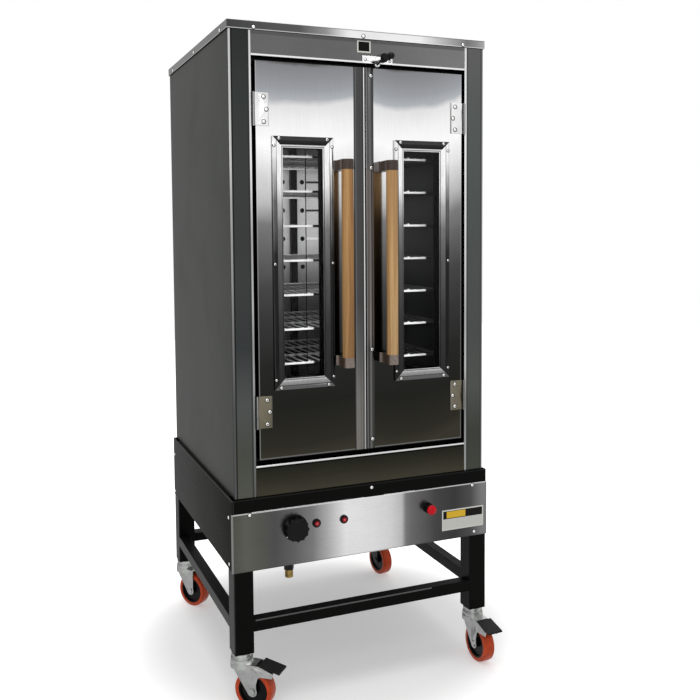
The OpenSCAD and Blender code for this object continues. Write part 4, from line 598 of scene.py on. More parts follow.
steelLooks = {
    "leftDoorSteel": doorLook(leftDoor, -0.20, -0.55),
    "rightDoorSteel": doorLook(rightDoor, 0.11, -1.5),
    # Painted reflection: a bright band across the lid's middle, with painted highlights on its edges
    "lidSteel": {
        "along": "X", "stretch": (14, 900, 900), "rough": 0.2,
        "tones": [(-0.36, 68), (-0.17, 89), (-0.10, 148), (-0.04, 232), (0.16, 236), (0.22, 190), (0.30, 119),
                  (0.325, 140), (0.36, 176)],
        "faces": {"Left": 122, "Right": 110, "Top": 150, "Under": 12, "Back": 90},
        "marks": [line("Z", lid[0].z, 0, 0.0022, 250, 0.5), line("Z", lid[1].z, -0.002, 0, 90, 0.6),
                  line("Z", lid[0].z, 0, 0.0025, 200, 0.6, "Left")],
    },
    # Painted reflection across the header, a painted highlight on its lower edge and a painted shade line
    # near its top
    "headerSteel": {
        "along": "X", "stretch": (12, 900, 900), "rough": 0.26, "streak": 0.1,
        "tones": [(-0.30, 102), (-0.06, 101), (0.10, 108), (0.30, 124)],
        "faces": {"Under": 6, "Top": 40, "Back": 60},
        "marks": [line("Z", header[0].z, 0, 0.0042, 238, 0.95),
                  line("Z", header[1].z, -0.028, -0.021, 76, 0.6)],
    },
    # Painted shade, darker downwards, under a painted highlight and a shade line at the top edge
    "kickSteel": {
        "stretch": (12, 900, 900), "rough": 0.24,
        "tones": [(0.530, 64, 61, 51), (0.552, 55, 53, 44), (0.580, 44, 43, 36), (0.600, 36, 36, 31)],
        "faces": {"Top": 46, "Under": 10, "Back": 50},
        "marks": [line("Z", kick[1].z, -0.004, 0, 224, 0.95),
                  line("Z", kick[1].z, -0.0085, -0.0055, 10, 0.8)],
    },
    # The sides' tones are painted reflection and shade, their inner faces painted dark, and their folds carry
    # painted highlights beside painted shade lines
    "leftSideSteel": {
        **sideSheet,
        "tones": [(0.53, 82, 84, 77), (0.64, 74, 76, 70), (0.76, 80, 83, 82), (0.90, 58, 61, 61),
                  (1.05, 61, 64, 63), (1.35, 61, 64, 63), (1.50, 56, 60, 59), (1.65, 48, 51, 50)],
        "faces": {"Left": ("Y", [(-0.307, 82, 84, 81), (-0.10, 86, 88, 85), (0.30, 79, 81, 78),
                                 (0.40, 84, 86, 83)]), "Right": 4, **sideFaces},
        "marks": [line("X", leftSide[0].x, 0, 0.0052, foldTones["outerLeft"], 0.95),
                  line("X", leftSide[0].x, 0.006, 0.009, 26, 0.8),
                  line("X", leftGapX, -0.0052, 0, foldTones["innerLeft"], 0.97),
                  line("X", leftGapX, -0.0095, -0.0055, 50, 0.7),
                  line("Y", frontY, 0, 0.006, 56, 0.8, "Left")],
    },
    "rightSideSteel": {
        **sideSheet,
        "tones": [(0.53, 68, 70, 64), (0.64, 63, 65, 60), (0.76, 81, 84, 81), (0.90, 75, 78, 76),
                  (1.20, 80, 84, 83), (1.50, 87, 91, 90), (1.65, 96)],
        "faces": {"Right": ("Y", [(-0.307, 78), (-0.28, 82), (0.30, 82), (0.40, 87)]), "Left": 4,
                  **sideFaces},
        "marks": [line("X", rightSide[1].x, -0.003, 0, 150, 0.85),
                  line("X", rightGapX, 0, 0.006, foldTones["innerRight"], 0.97),
                  line("X", rightGapX, 0.006, 0.010, 56, 0.6),
                  line("X", rightSide[1].x, -0.0075, -0.004, 58, 0.6)],
    },
    "backSteel": {"rough": 0.32, "tones": [(0.5, 84), (1.7, 92)]},
    # The base's tones, darker towards the front, are painted reflection and shade, and its edge line is a
    # painted highlight
    "baseSteel": {
        "along": "Y", "stretch": (900, 10, 900), "rough": 0.28, "rimTint": 0.37,
        "tones": [(-0.30, 32, 31, 25), (-0.22, 43, 43, 36), (-0.08, 52, 52, 46), (0.12, 58, 58, 56),
                  (0.36, 62)],
        "faces": {"Back": 70},
        "marks": [line("Z", base[1].z, -0.002, 0, 110, 0.5, "Left")],
    },
    # Painted reflection bands across the control panel, with painted highlights and shade on its edges
    "panelSteel": {
        "along": "X", "stretch": (16, 900, 900), "rough": 0.26, "streak": 0.12, "blotch": 0.08,
        "tones": [(-0.360, 80, 80, 74), (-0.325, 92, 93, 86), (-0.290, 86, 86, 80), (-0.250, 79),
                  (-0.200, 96), (-0.150, 122), (-0.110, 170), (-0.060, 224), (0.020, 220), (0.070, 205),
                  (0.100, 186), (0.112, 120), (0.130, 104), (0.170, 88), (0.200, 70), (0.260, 58),
                  (0.310, 77), (0.345, 122)],
        "faces": {"Left": 130, "Right": 90, "Top": 190, "Under": 40, "Back": 70},
        "marks": [line("Z", panel[1].z, -0.0026, 0, 240, 0.55), line("Z", panel[0].z, 0, 0.0022, 60, 0.4),
                  line("X", panel[0].x, 0, 0.003, 150, 0.6)],
    },
    # The meeting strips' tones and edge lines are painted reflection, highlights and shade
    "leftStripSteel": {
        **stripSheet,
        "tones": [(0.62, 118, 115, 110), (0.75, 114, 112, 108), (0.88, 90), (1.0, 72), (1.6, 75)],
        "faces": {"Left": 110, "Right": 30, "Top": 90, "Under": 20},
        "marks": [line("X", leftMeet[0].x, 0, 0.0022, 34, 0.6),
                  line("X", leftMeet[0].x, 0.0026, 0.0052, 118, 0.5),
                  line("X", leftMeet[0].x, 0.014, 0.017, 62, 0.3),
                  line("X", leftMeet[1].x, -0.0078, -0.0052, 50, 0.6),
                  line("X", leftMeet[1].x, -0.0026, 0, foldTones["meeting"], 0.95)],
    },
    "rightStripSteel": {
        **stripSheet,
        "tones": [(0.62, 62, 63, 58), (0.88, 64, 62, 57), (0.92, 88, 79, 73), (1.33, 98, 90, 86), (1.36, 76),
                  (1.6, 72)],
        "faces": {"Left": 8, "Right": 40, "Top": 90, "Under": 20},
        "marks": [line("X", rightMeet[0].x, 0, 0.002, 128, 0.8),
                  line("X", rightMeet[0].x, 0.0085, 0.013, 112, 0.7),
                  line("X", rightMeet[1].x, -0.0022, 0, 44, 0.5)],
    },
    "doorBackSteel": {"rough": 0.3, "tones": [(0.6, 44), (1.6, 52)], "faces": {"Back": 186}},
    # Painted shade: the liner is near black inside the closed cavity
    "linerSteel": {**cavitySheet, "tones": [(0.63, 7), (1.59, 12)]},
    # A painted pool of light on the baffle, brightest between 1.15 and 1.36 m up
    "baffleSteel": {
        "stretch": (14, 900, 900), "rough": 0.4, "metallic": 0.3,
        "tones": [(0.63, 70), (0.95, 96), (1.05, 140), (1.15, 205), (1.36, 215), (1.42, 120), (1.59, 60)],
        "marks": [baffleMark(shelf, grey) for shelf, grey in baffleMarks["greys"].items()],
    },
    # Painted shade: the rack supports are near black too
    "rackSteel": {**cavitySheet, "tones": [(0.63, 10), (1.59, 14)]},
    # Painted reflection up the hinges, brighter near the top like the doors, with painted shade and highlight
    # lines on leaf edges and barrels
    "hingeSteel": {
        "stretch": (900, 900, 20), "rough": 0.22, "streak": 0.08, "blotch": 0.35,
        "tones": [(0.70, 106, 101, 86), (0.79, 112, 106, 90), (1.43, 238), (1.53, 226)],
        "faces": {"Left": 70, "Top": 120, "Under": 16, "Back": 80},
        "marks": [line("X", -hingeSet["leafEdge"], -0.0015, 0.0015, [(0.8, 84), (1.4, 190)], 0.7),
                  line("X", hingeSet["leafEdge"], -0.0015, 0.0015, 120, 0.5)]
        + [barrelLine(side, *barrel) for side in (-1, 1) for barrel in hingeSet["barrel"]],
    },
    # Painted reflection makes the latch plate near white, with painted shade under it
    "latchSteel": {
        "along": "X", "stretch": (40, 900, 900), "rough": 0.12, "tones": [(-0.01, 252), (0.09, 246)],
        "faces": {"Under": 40, "Left": 200},
    },
    # Painted highlights with dark painted outlines across the hook's ring
    "hookSteel": {
        "stretch": (300, 300, 300), "rough": 0.18,
        "tones": [(1.595, 50), (1.6035, 246), (1.6065, 40), (1.611, 60), (1.614, 225), (1.63, 240)],
    },
    "fanSteel": {"stretch": (300, 300, 300), "rough": 0.35, "tones": [(1.4, 150), (1.6, 160)]},
    # Painted light on the casters' metal: lighter upwards and on tops, darker underneath
    "zincSteel": {
        "stretch": (60, 60, 60), "rough": 0.34, "streak": 0.24, "blotch": 0.2, "rimTint": 0.5,
        "tones": [(0.03, 142, 146, 140), (0.09, 162, 166, 160), (0.14, 184, 187, 182)],
        "faces": {"Top": 218, "Under": 54, "Left": 158},
    },
}
steelLooks["shadeZinc"] = {**steelLooks["zincSteel"], "tones": [(0.03, 50, 54, 50), (0.14, 74, 78, 74)],
                           "faces": {"Top": 90, "Left": 60}}
steels = {name: steelMaterial(name, look) for name, look in steelLooks.items()}

plainLooks = {
    # Painted light on the black stand: lighter left faces and tops, painted highlight lines on its edges and
    # lower rail
    "standPaint": {
        "colour": (8, 8, 7), "rough": 0.45, "specular": 0.05, "grainScale": 160, "bump": 0.25, "dust": 0.4,
        "dustTone": (60, 60, 58),
        "faces": {"Left": ("X", [(-0.354, 50), (-0.345, 46), (-0.30, 24), (0.36, 14)]), "Top": 14, "Under": 6,
                  "Right": 30, "Back": 30},
        "marks": [line("Z", stand[1].z, -0.0026, 0, 40, 0.6), line("X", stand[0].x, 0, 0.0026, 60, 0.6),
                  field([("Z", *(stand[0].z + up for up in railMark["up"])), ("X", *railMark["across"])],
                        110, 0.8)],
    },
    "blackPlastic": {"colour": (14, 14, 14), "rough": 0.24, "specular": 0.12, "grainScale": 500},
    "blackEnamel": {"colour": (15, 15, 15), "rough": 0.28, "specular": 0.16, "grainScale": 260},
    # Painted light: the pedals' tops and left faces are lighter
    "pedalSteel": {"colour": (24, 24, 23), "rough": 0.45, "specular": 0.1, "grainScale": 260,
                   "faces": {"Top": 36, "Left": 34}},
    "redCap": {"colour": (212, 8, 30), "rough": 0.22, "specular": 0.15, "grainScale": 400},
    "redLens": {"colour": (170, 8, 30), "rough": 0.12, "specular": 0.2, "grainScale": 700},
    # Painted highlight: the pale pink disc at the middle of each lamp lens
    "lensCore": {"colour": (226, 110, 120), "rough": 0.2, "specular": 0.5, "grainScale": 700},
    "screwZinc": {"colour": (228, 228, 226), "rough": 0.25, "metallic": 1.0, "grainScale": 600},
    "seatShadow": {"colour": (34, 34, 32), "rough": 0.5, "specular": 0.1, "grainScale": 600},
    "brass": {"colour": (150, 126, 74), "rough": 0.32, "metallic": 1.0, "grainScale": 400, "variation": 0.3,
              "patches": (90.0, 0.35)},
    "castAluminium": {"colour": (150, 152, 154), "rough": 0.5, "metallic": 1.0, "grainScale": 300},
    "motorPaint": {"colour": (74, 80, 84), "rough": 0.45, "grainScale": 200},
    "gasketRubber": {"colour": (22, 22, 22), "rough": 0.7, "specular": 0.1, "grainScale": 700, "bump": 0.4},
    # Painted light on the brackets: a light front on the lower one, lighter tops than undersides
    "bracketBrown": {
        "colour": (74, 60, 52), "rough": 0.36, "specular": 0.3, "grainScale": 200, "variation": 0.3,
        "faces": {"Top": 56, "Under": 30, "Front": ("Z", [
            (0.840, 140, 128, 120), (0.880, 134, 120, 112), (0.900, 74, 60, 52), (1.340, 66, 54, 48)])},
    },
    "tyreOrange": {"colour": (192, 70, 32), "rough": 0.42, "specular": 0.2, "grainScale": 300,
                   "variation": 0.1, "patches": (60.0, 0.12)},
    "hubBlack": {"colour": (9, 9, 9), "rough": 0.4, "specular": 0.1, "grainScale": 500},
    "dotWhite": {"colour": (232, 232, 228), "rough": 0.5, "grainScale": 900, "variation": 0.04},
}
plains = {name: plainMaterial(name, look) for name, look in plainLooks.items()}

# The right handle is a lighter copy of the left one's wood, which is painted light
woodLooks = {
    "leftHandleWood": {"dark": (146, 103, 58), "middle": (186, 138, 84), "light": (214, 168, 110),
                       "fade": (0.87, 1.34, 0.74)},
    "rightHandleWood": {"dark": (168, 124, 78), "middle": (208, 164, 110), "light": (232, 194, 140),
                        "fade": (0.87, 1.34, 0.86)},
}
woods = {name: woodMaterial(name, look) for name, look in woodLooks.items()}
windowGlass = glassMaterial("windowGlass")
shelfChrome = shelfMaterial("shelfChrome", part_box("shelf_1")[0].y)
trims = {side: trimMaterial(side + "TrimSteel", side + "_window_trim") for side in ("left", "right")}


def meshIslands(node):
    # The separate solids of a node, as pairs of lowest and highest corners
    bm = bmesh.new()
    bm.from_mesh(frame["nodes"][node].data)
    bmesh.ops.remove_doubles(bm, verts=bm.verts, dist=2e-6)
    found, seen = [], set()
    for start in bm.verts:
        if start in seen:
            continue
        stack, members = [start], []
        seen.add(start)
        while stack:
            vert = stack.pop()
            members.append(vert.co.copy())
            for edge in vert.link_edges:
                other = edge.other_vert(vert)
                if other not in seen:
                    seen.add(other)
                    stack.append(other)
        found.append(tuple(Vector([extreme(c[k] for c in members) for k in range(3)])
                           for extreme in (min, max)))
    bm.free()
    return found


(labelLow, labelHigh), (badgeLow, badgeHigh) = sorted(meshIslands("blank_plates"), key=lambda box: box[0].z)
plateSet = {
    "ground": (228, 227, 220), "badgeRim": 0.0036, "badge": (12, 12, 10), "labelRim": 0.0035,
    "split": 0.56,       # the share of the label's height below its dark band
    "band": (24, 23, 20), "patch": (0.11, 0.56), "yellow": (236, 192, 60), "pale": (214, 214, 208),
}
rim, wide = plateSet["labelRim"], labelHigh.x - labelLow.x
split = labelLow.z + plateSet["split"] * (labelHigh.z - labelLow.z)
patchStart, patchEnd = (labelLow.x + share * wide for share in plateSet["patch"])
badgeRim = plateSet["badgeRim"]
plateFields = plateMaterial("plateFields", {"ground": plateSet["ground"], "fields": [
    (badgeLow.x + badgeRim, badgeHigh.x - badgeRim, badgeLow.z + badgeRim, badgeHigh.z - badgeRim * 0.6,
     plateSet["badge"]),
    (labelLow.x + rim, labelHigh.x - rim, split, labelHigh.z - rim, plateSet["band"]),
    (patchStart, patchEnd, split + 0.002, labelHigh.z - rim - 0.0015, plateSet["yellow"]),
    (labelLow.x + rim, labelHigh.x - rim, labelLow.z + rim, split - 0.001, plateSet["pale"])]})
print("materials built:", len(bpy.data.materials))


bodyOf = {n: b for b, members in frame["record"]["behaviour"]["bodies"].items() for n in members}
slotOf = {s["node"]: s["material_slot"] for s in frame["record"]["subparts"]}
smoothAngle = math.radians(35.0)


def finishPiece(name, mesh, body, slot, replaced=()):
    # Makes the object, shades it, puts it under its body and hides the parts it replaces
    mesh.polygons.foreach_set("use_smooth", [True] * len(mesh.polygons))
    mesh.set_sharp_from_angle(angle=smoothAngle)
    piece = bpy.data.objects.new(name, mesh)
    scene.collection.objects.link(piece)
    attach(piece, body)
    if replaced:
        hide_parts(*replaced)
    return piece


def meshOf(name, bm, materials):
    mesh = bpy.data.meshes.new(name)
    bm.to_mesh(mesh)
    bm.free()
    for material in materials:
        mesh.materials.append(material)
    return mesh


def dressNode(node, materials, rounding=0.0, shortest=0.03, pick=None):
    # A welded copy of a node whose long edges are rounded, so that its bends catch the light
    bm = bmesh.new()
    bm.from_mesh(frame["nodes"][node].data)
    bmesh.ops.remove_doubles(bm, verts=bm.verts, dist=2e-6)
    bmesh.ops.dissolve_limit(bm, angle_limit=math.radians(0.6), verts=bm.verts, edges=bm.edges)
    weight = bm.edges.layers.float.new("bevel_weight_edge")
    for edge in bm.edges:
        if len(edge.link_faces) == 2 and edge.calc_length() > shortest and edge.is_convex:
            if edge.calc_face_angle(0) > math.radians(40):
                edge[weight] = 1.0
    for face in bm.faces:
        face.material_index = pick(face) if pick else 0
    mesh = meshOf(node + "Dressed", bm, materials if isinstance(materials, list) else [materials])
    piece = finishPiece(node + "Dressed", mesh, bodyOf[node], slotOf[node], [node])
    if rounding:
        bevel = piece.modifiers.new("rounding", "BEVEL")
        bevel.limit_method = "WEIGHT"
        bevel.width = rounding
        bevel.segments = 2
        bevel.use_clamp_overlap = True


def paintNode(node, material):
    # Keeps the CAD shape and gives it a better material
    target = frame["nodes"][node]
    target.data.materials.clear()
    target.data.materials.append(material)


def lathePiece(name, profile, origin, axis, segments, material, body, slot):
    # Turns a closed profile of (radius, along) points round an axis
    bm = bmesh.new()
    axis = Vector(axis)
    side = axis.orthogonal().normalized()
    other = axis.cross(side)
    turns = [2 * math.pi * k / segments for k in range(segments)]
    spokes = [side * math.cos(turn) + other * math.sin(turn) for turn in turns]
    rings = []
    for radius, along in profile:
        centre = Vector(origin) + axis * along
        rings.append([bm.verts.new(centre + spoke * radius) for spoke in (spokes if radius else spokes[:1])])
    for first, second in zip(rings, rings[1:] + rings[:1]):
        for k in range(segments):
            n = (k + 1) % segments
            corners = []
            for vert in (first[k % len(first)], first[n % len(first)],
                         second[n % len(second)], second[k % len(second)]):
                if vert not in corners:
                    corners.append(vert)
            if len(corners) > 2:
                bm.faces.new(corners)
    bmesh.ops.remove_doubles(bm, verts=bm.verts, dist=1e-6)
    bmesh.ops.recalc_face_normals(bm, faces=bm.faces)
    finishPiece(name, meshOf(name, bm, [material]), body, slot)


def newTree(name, inputs):
    inputs = [("Geometry", "Geometry", None)] + inputs
    return newGroup(name, inputs, ["Geometry"], "GeometryNodeTree", "Geometry")


def runTree(name, tree, points, values, body, slot, replaced=()):
    # Runs a tree on a set of points and keeps the result as a plain mesh
    mesh = bpy.data.meshes.new(name + "Points")
    mesh.from_pydata([tuple(p) for p in points], [], [])
    holder = bpy.data.objects.new(name + "Points", mesh)
    scene.collection.objects.link(holder)
    modifier = holder.modifiers.new("tree", "NODES")
    modifier.node_group = tree
    known = {item.name: item.identifier for item in tree.interface.items_tree if item.in_out == "INPUT"}
    for label, value in values.items():
        modifier[known[label]] = value
    bpy.context.view_layer.update()
    evaluated = holder.evaluated_get(bpy.context.evaluated_depsgraph_get())
    made = bpy.data.meshes.new_from_object(evaluated)
    holder.modifiers.remove(modifier)
    bpy.data.objects.remove(holder)
    made.name = name
    finishPiece(name, made, body, slot, replaced)


def copies(tree, points, shape):
    return addNode(tree, "GeometryNodeInstanceOnPoints", {"Points": points, "Instance": shape})


def spreadAndCoat(tree, shape, given, out, turned=True):
    # The last steps of each tree: one copy on every point, made real and given its finish
    spread = copies(tree, given["Geometry"], shape)
    if turned:
        feed(tree, spread.inputs["Rotation"], given["Turn"])
    real = addNode(tree, "GeometryNodeRealizeInstances", {0: spread.outputs[0]})
    coat = addNode(tree, "GeometryNodeSetMaterial", {
        "Geometry": real.outputs[0], "Material": given["Finish"]})
    feed(tree, out[0], coat.outputs[0])


def transformed(tree, shape, **values):
    return addNode(tree, "GeometryNodeTransform", {"Geometry": shape, **values}).outputs[0]


def makeScrewTree():
    # A domed head with a cross recess on every point, all turned the same way
    tree, given, out = newTree("screwHeads", [
        ("Head Radius", "Float", 0.004), ("Head Height", "Float", 0.002), ("Recess", "Float", 0.002),
        ("Turn", "Rotation", None), ("Finish", "Material", None)])
    radius, height, recess = (given[name] for name in ("Head Radius", "Head Height", "Recess"))
    dome = addNode(tree, "GeometryNodeMeshUVSphere", {"Segments": 20, "Rings": 10, "Radius": 1.0})
    head = transformed(tree, dome.outputs["Mesh"], Scale=combine(tree, radius, radius, height))
    thin = times(tree, recess, 0.36)
    cutters = addNode(tree, "GeometryNodeJoinGeometry")
    for wide, high in ((recess, thin), (thin, recess)):
        bar = addNode(tree, "GeometryNodeMeshCube", {"Size": combine(tree, wide, high, height)})
        lifted = transformed(tree, bar.outputs["Mesh"], Translation=combine(tree, 0.0, 0.0, height))
        feed(tree, cutters.inputs[0], lifted)
    cut = addNode(tree, "GeometryNodeMeshBoolean", {
        0: head, 1: cutters.outputs[0], "Self Intersection": True}, operation="DIFFERENCE", solver="EXACT")
    spreadAndCoat(tree, cut.outputs["Mesh"], given, out)
    return tree


def makeSeatTree():
    # A thin disc on every point: the ring of painted shadow under a head, or the painted highlight at the
    # middle of a lamp
    tree, given, out = newTree("screwSeats", [
        ("Radius", "Float", 0.005), ("Thickness", "Float", 0.0004), ("Turn", "Rotation", None),
        ("Finish", "Material", None)])
    disc = addNode(tree, "GeometryNodeMeshCylinder", {
        "Vertices": 24, "Radius": given["Radius"], "Depth": given["Thickness"]})
    spreadAndCoat(tree, disc.outputs["Mesh"], given, out)
    return tree


def makeShelfTree():
    # A wire shelf round each point: a rim, wires from front to back, two cross rods and two small nibs
    tree, given, out = newTree("wireShelf", [
        ("Width", "Float", 0.5), ("Depth", "Float", 0.4), ("Rod Radius", "Float", 0.003),
        ("Wire Radius", "Float", 0.002), ("Wires", "Int", 20), ("Corner", "Float", 0.012),
        ("Nib", "Float", 0.14), ("Nib Shift", "Float", 0.0), ("Finish", "Material", None)])
    width, depth, nibX = given["Width"], given["Depth"], given["Nib"]
    rodRadius, wireRadius = given["Rod Radius"], given["Wire Radius"]
    rodWide = times(tree, rodRadius, 2.0)
    innerWidth, innerDepth = minus(tree, width, rodWide), minus(tree, depth, rodWide)
    rim = addNode(tree, "GeometryNodeCurvePrimitiveQuadrilateral", {
        "Width": innerWidth, "Height": innerDepth})
    soft = addNode(tree, "GeometryNodeFilletCurve", {
        "Curve": rim.outputs[0], "Count": 5, "Radius": given["Corner"]}, mode="POLY")
    profile = addNode(tree, "GeometryNodeCurvePrimitiveCircle", {"Resolution": 10, "Radius": rodRadius})
    rimMesh = addNode(tree, "GeometryNodeCurveToMesh", {
        "Curve": soft.outputs[0], "Profile Curve": profile.outputs[0]})
    everything = addNode(tree, "GeometryNodeJoinGeometry", {0: rimMesh.outputs[0]})

    def rowOf(shape, count, first, step):
        row = addNode(tree, "GeometryNodeMeshLine", {"Count": count, "Start Location": first, "Offset": step})
        feed(tree, everything.inputs[0], copies(tree, row.outputs[0], shape).outputs[0])

    def rods(count, radius, length, turn, first, step, lift):
        rod = addNode(tree, "GeometryNodeMeshCylinder", {"Vertices": 10, "Radius": radius, "Depth": length})
        rowOf(transformed(tree, rod.outputs["Mesh"], Rotation=turn, Translation=lift), count, first, step)

    pitch = mathNode(tree, "DIVIDE", innerWidth, plus(tree, given["Wires"], 1.0))
    firstX = minus(tree, plus(tree, pitch, rodRadius), times(tree, width, 0.5))
    rods(given["Wires"], wireRadius, innerDepth, (math.pi / 2, 0, 0), combine(tree, firstX),
         combine(tree, pitch), combine(tree, 0.0, 0.0, wireRadius))
    third = mathNode(tree, "DIVIDE", depth, 6.0)
    rods(2, rodRadius, innerWidth, (0, math.pi / 2, 0), combine(tree, 0.0, times(tree, third, -1.0)),
         combine(tree, 0.0, times(tree, third, 2.0)), combine(tree, 0.0))
    front = minus(tree, rodRadius, times(tree, depth, 0.5))
    nib = addNode(tree, "GeometryNodeMeshUVSphere", {"Segments": 12, "Rings": 8, "Radius": rodRadius})
    firstNib = combine(tree, minus(tree, given["Nib Shift"], nibX), front, rodRadius)
    rowOf(nib.outputs["Mesh"], 2, firstNib, combine(tree, times(tree, nibX, 2.0)))
    spreadAndCoat(tree, everything.outputs[0], given, out, turned=False)
    return tree


screwTree = makeScrewTree()
seatTree = makeSeatTree()
shelfTree = makeShelfTree()
faceFront = (math.pi / 2, 0, 0)
faceLeft = (0, -math.pi / 2, 0)
faceRight = (0, math.pi / 2, 0)
print("geometry trees built")


for node, finish, rounding in (
        ("cabinet_left_side", "leftSideSteel", 0.0007), ("cabinet_right_side", "rightSideSteel", 0.0007),
        ("cabinet_back", "backSteel", 0.0006), ("cabinet_lid", "lidSteel", 0.0007),
        ("header_panel", "headerSteel", 0.0007), ("lower_front_panel", "kickSteel", 0.0007),
        ("control_panel", "panelSteel", 0.0006), ("base_panels", "baseSteel", 0.0006),
        ("left_door_skin", "leftDoorSteel", 0.0005), ("right_door_skin", "rightDoorSteel", 0.0005),
        ("left_meeting_strip", "leftStripSteel", 0.0006), ("right_meeting_strip", "rightStripSteel", 0.0006),
        ("left_door_back", "doorBackSteel", 0.0005), ("right_door_back", "doorBackSteel", 0.0005)):
    dressNode(node, steels[finish], rounding)
dressNode("stand_frame", plains["standPaint"], 0.0022, shortest=0.02)
print("sheet metal dressed")

for node, material in (
        ("oven_liner", steels["linerSteel"]), ("fan_baffle", steels["baffleSteel"]),
        ("rack_supports", steels["rackSteel"]), ("fan_wheel", steels["fanSteel"]),
        ("fan_motor", plains["motorPaint"]), ("door_gasket", plains["gasketRubber"]),
        ("gas_thermostat", plains["castAluminium"]), ("left_window_glass", windowGlass),
        ("right_window_glass", windowGlass)):
    paintNode(node, material)

dressNode("frame_hinges", steels["hingeSteel"], 0.0004, shortest=0.01)
for side in ("left", "right"):
    dressNode(side + "_door_hinges", steels["hingeSteel"], 0.0004, shortest=0.01)
    dressNode(side + "_handle_grip", woods[side + "HandleWood"])
    dressNode(side + "_handle_brackets", plains["bracketBrown"], 0.0015, shortest=0.008)
    dressNode(side + "_window_trim", trims[side], 0.0004)

latchSet = {"armEnd": 0.0445, "rivetX": (0.005, 0.0735), "rivetZ": 1.6183, "rivetSeat": 0.0042,
            "pivot": (0.052, 1.623), "pinRadius": 0.0085}


def reachFrom(vert, x, z):
    # How far a vertex is from a line that runs front to back
    return math.hypot(vert.co.x - x, vert.co.z - z)


def hookFaces(face):
    # The arm and the hook are plain metal, the barrel and the ball are black
    return int(all(v.co.x < latchSet["armEnd"] for v in face.verts))


def pinFaces(face):
    # The pivot's head is black like the lever
    return int(all(reachFrom(v, *latchSet["pivot"]) < latchSet["pinRadius"] for v in face.verts))


dressNode("latch_plate", [steels["latchSteel"], plains["blackEnamel"]], 0.0004, shortest=0.01, pick=pinFaces)
dressNode("latch_lever", [plains["blackEnamel"], steels["hookSteel"]], pick=hookFaces)
dressNode("control_knob", plains["blackPlastic"])
dressNode("push_button", plains["redCap"])
dressNode("button_collar", plains["blackPlastic"])
dressNode("blank_plates", plateFields)

lampSet = {
    "lensWide": 0.0125,         # the lenses are the solids narrower than this
    "lens": 0.0062, "core": 0.0022, "coreThick": 0.0008, "coreIn": 0.0001,
}
lampBoxes = [box for box in meshIslands("indicator_lamps") if box[1].x - box[0].x < lampSet["lensWide"]]
lampSpots = [((low.x + high.x) / 2, low.y, (low.z + high.z) / 2) for low, high in lampBoxes]


def lensFaces(face):
    return int(any(all(reachFrom(v, x, z) < lampSet["lens"] for v in face.verts) for x, y, z in lampSpots))


dressNode("indicator_lamps", [plains["blackPlastic"], plains["redLens"]], pick=lensFaces)
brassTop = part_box("gas_inlet")[0].z + 0.0199       # the threaded end is bare brass up to the nut
dressNode("gas_inlet", [plains["brass"], plains["blackEnamel"]],
          pick=lambda face: int(face.calc_center_median().z > brassTop))
print("fittings dressed")

casterSet = {"headings": {"front_left": -42, "front_right": -87, "rear_left": -55, "rear_right": -82},
             "hubRadius": 0.03902}


def wheelFaces(corner):
    low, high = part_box(corner + "_wheel")
    centre = (low + high) / 2
    turn = math.radians(casterSet["headings"][corner])
    axle = Vector((-math.sin(turn), math.cos(turn), 0))

    def pick(face):
        # 0 is the tyre, 1 the black hub
        offs = [vert.co - centre for vert in face.verts]
        return int(max((off - axle * off.dot(axle)).length for off in offs) < casterSet["hubRadius"])
    return pick


dressNode("caster_stems", steels["zincSteel"])
for corner in casterSet["headings"]:
    dressNode(corner + "_fork", steels["shadeZinc" if corner == "rear_right" else "zincSteel"], 0.0006,
              shortest=0.008)
    dressNode(corner + "_wheel", [plains["tyreOrange"], plains["hubBlack"]], pick=wheelFaces(corner))
for corner in ("front_left", "front_right"):
    dressNode(corner + "_pedal", plains["pedalSteel"], 0.0008, shortest=0.01)
print("casters dressed")


def screws(name, points, body, radius, height, turn=faceFront, replaced=()):
    runTree(name, screwTree, points, {
        "Head Radius": radius, "Head Height": height, "Recess": radius * 0.95, "Turn": turn,
        "Finish": plains["screwZinc"]}, body, "zinc_plate", replaced)


def seats(name, points, body, radius, turn=faceFront, thickness=0.0006, finish="seatShadow"):
    runTree(name, seatTree, points, {
        "Radius": radius, "Thickness": thickness, "Turn": turn, "Finish": plains[finish]}, body, "zinc_plate")


screwSet = {
    "radius": 0.0045, "height": 0.0025, "seat": 0.0058,
    "rail": (0.0145, 0.5196),       # across and up
    "frontWithin": 0.345,           # heads nearer the middle than this are on the front
}
headSize = (screwSet["radius"], screwSet["height"])
heads = {"front": [], "left": [], "right": []}
for low, high in meshIslands("cabinet_screws"):
    middle = (low + high) / 2
    if abs(middle.x) < screwSet["frontWithin"]:
        heads["front"].append((middle.x, low.y + screwSet["height"], middle.z))
    elif middle.x < 0:
        heads["left"].append((low.x + screwSet["height"], middle.y, middle.z))
    else:
        heads["right"].append((high.x - screwSet["height"], middle.y, middle.z))
railX, railZ = screwSet["rail"]
screws("railScrew", [(railX, stand[0].y, railZ)], "cabinet", *headSize)
screws("frontScrews", heads["front"], "cabinet", *headSize, replaced=["cabinet_screws"])
screws("leftScrews", heads["left"], "cabinet", *headSize, faceLeft)
screws("rightScrews", heads["right"], "cabinet", *headSize, faceRight)
for side, turn in (("front", faceFront), ("left", faceLeft), ("right", faceRight)):
    seats(side + "ScrewSeats", heads[side], "cabinet", screwSet["seat"], turn)

rivetSet = {
    "cornerX": 0.063, "cornerZ": 0.307, "cornerRadius": 0.00415, "cornerHeight": 0.0027,
    "sideX": 0.076, "sideZ": (-0.287, 0.0, 0.289), "sideRadius": 0.0032, "sideHeight": 0.0018,
    "trimThick": 0.006, "sheetThick": 0.002, "lip": 0.0014, "sideLip": 0.0012,
    "meetIn": 0.014, "meetUp": (0.024, 0.258, 0.724, 0.956), "meetRadius": 0.00465, "meetHeight": 0.0027,
}


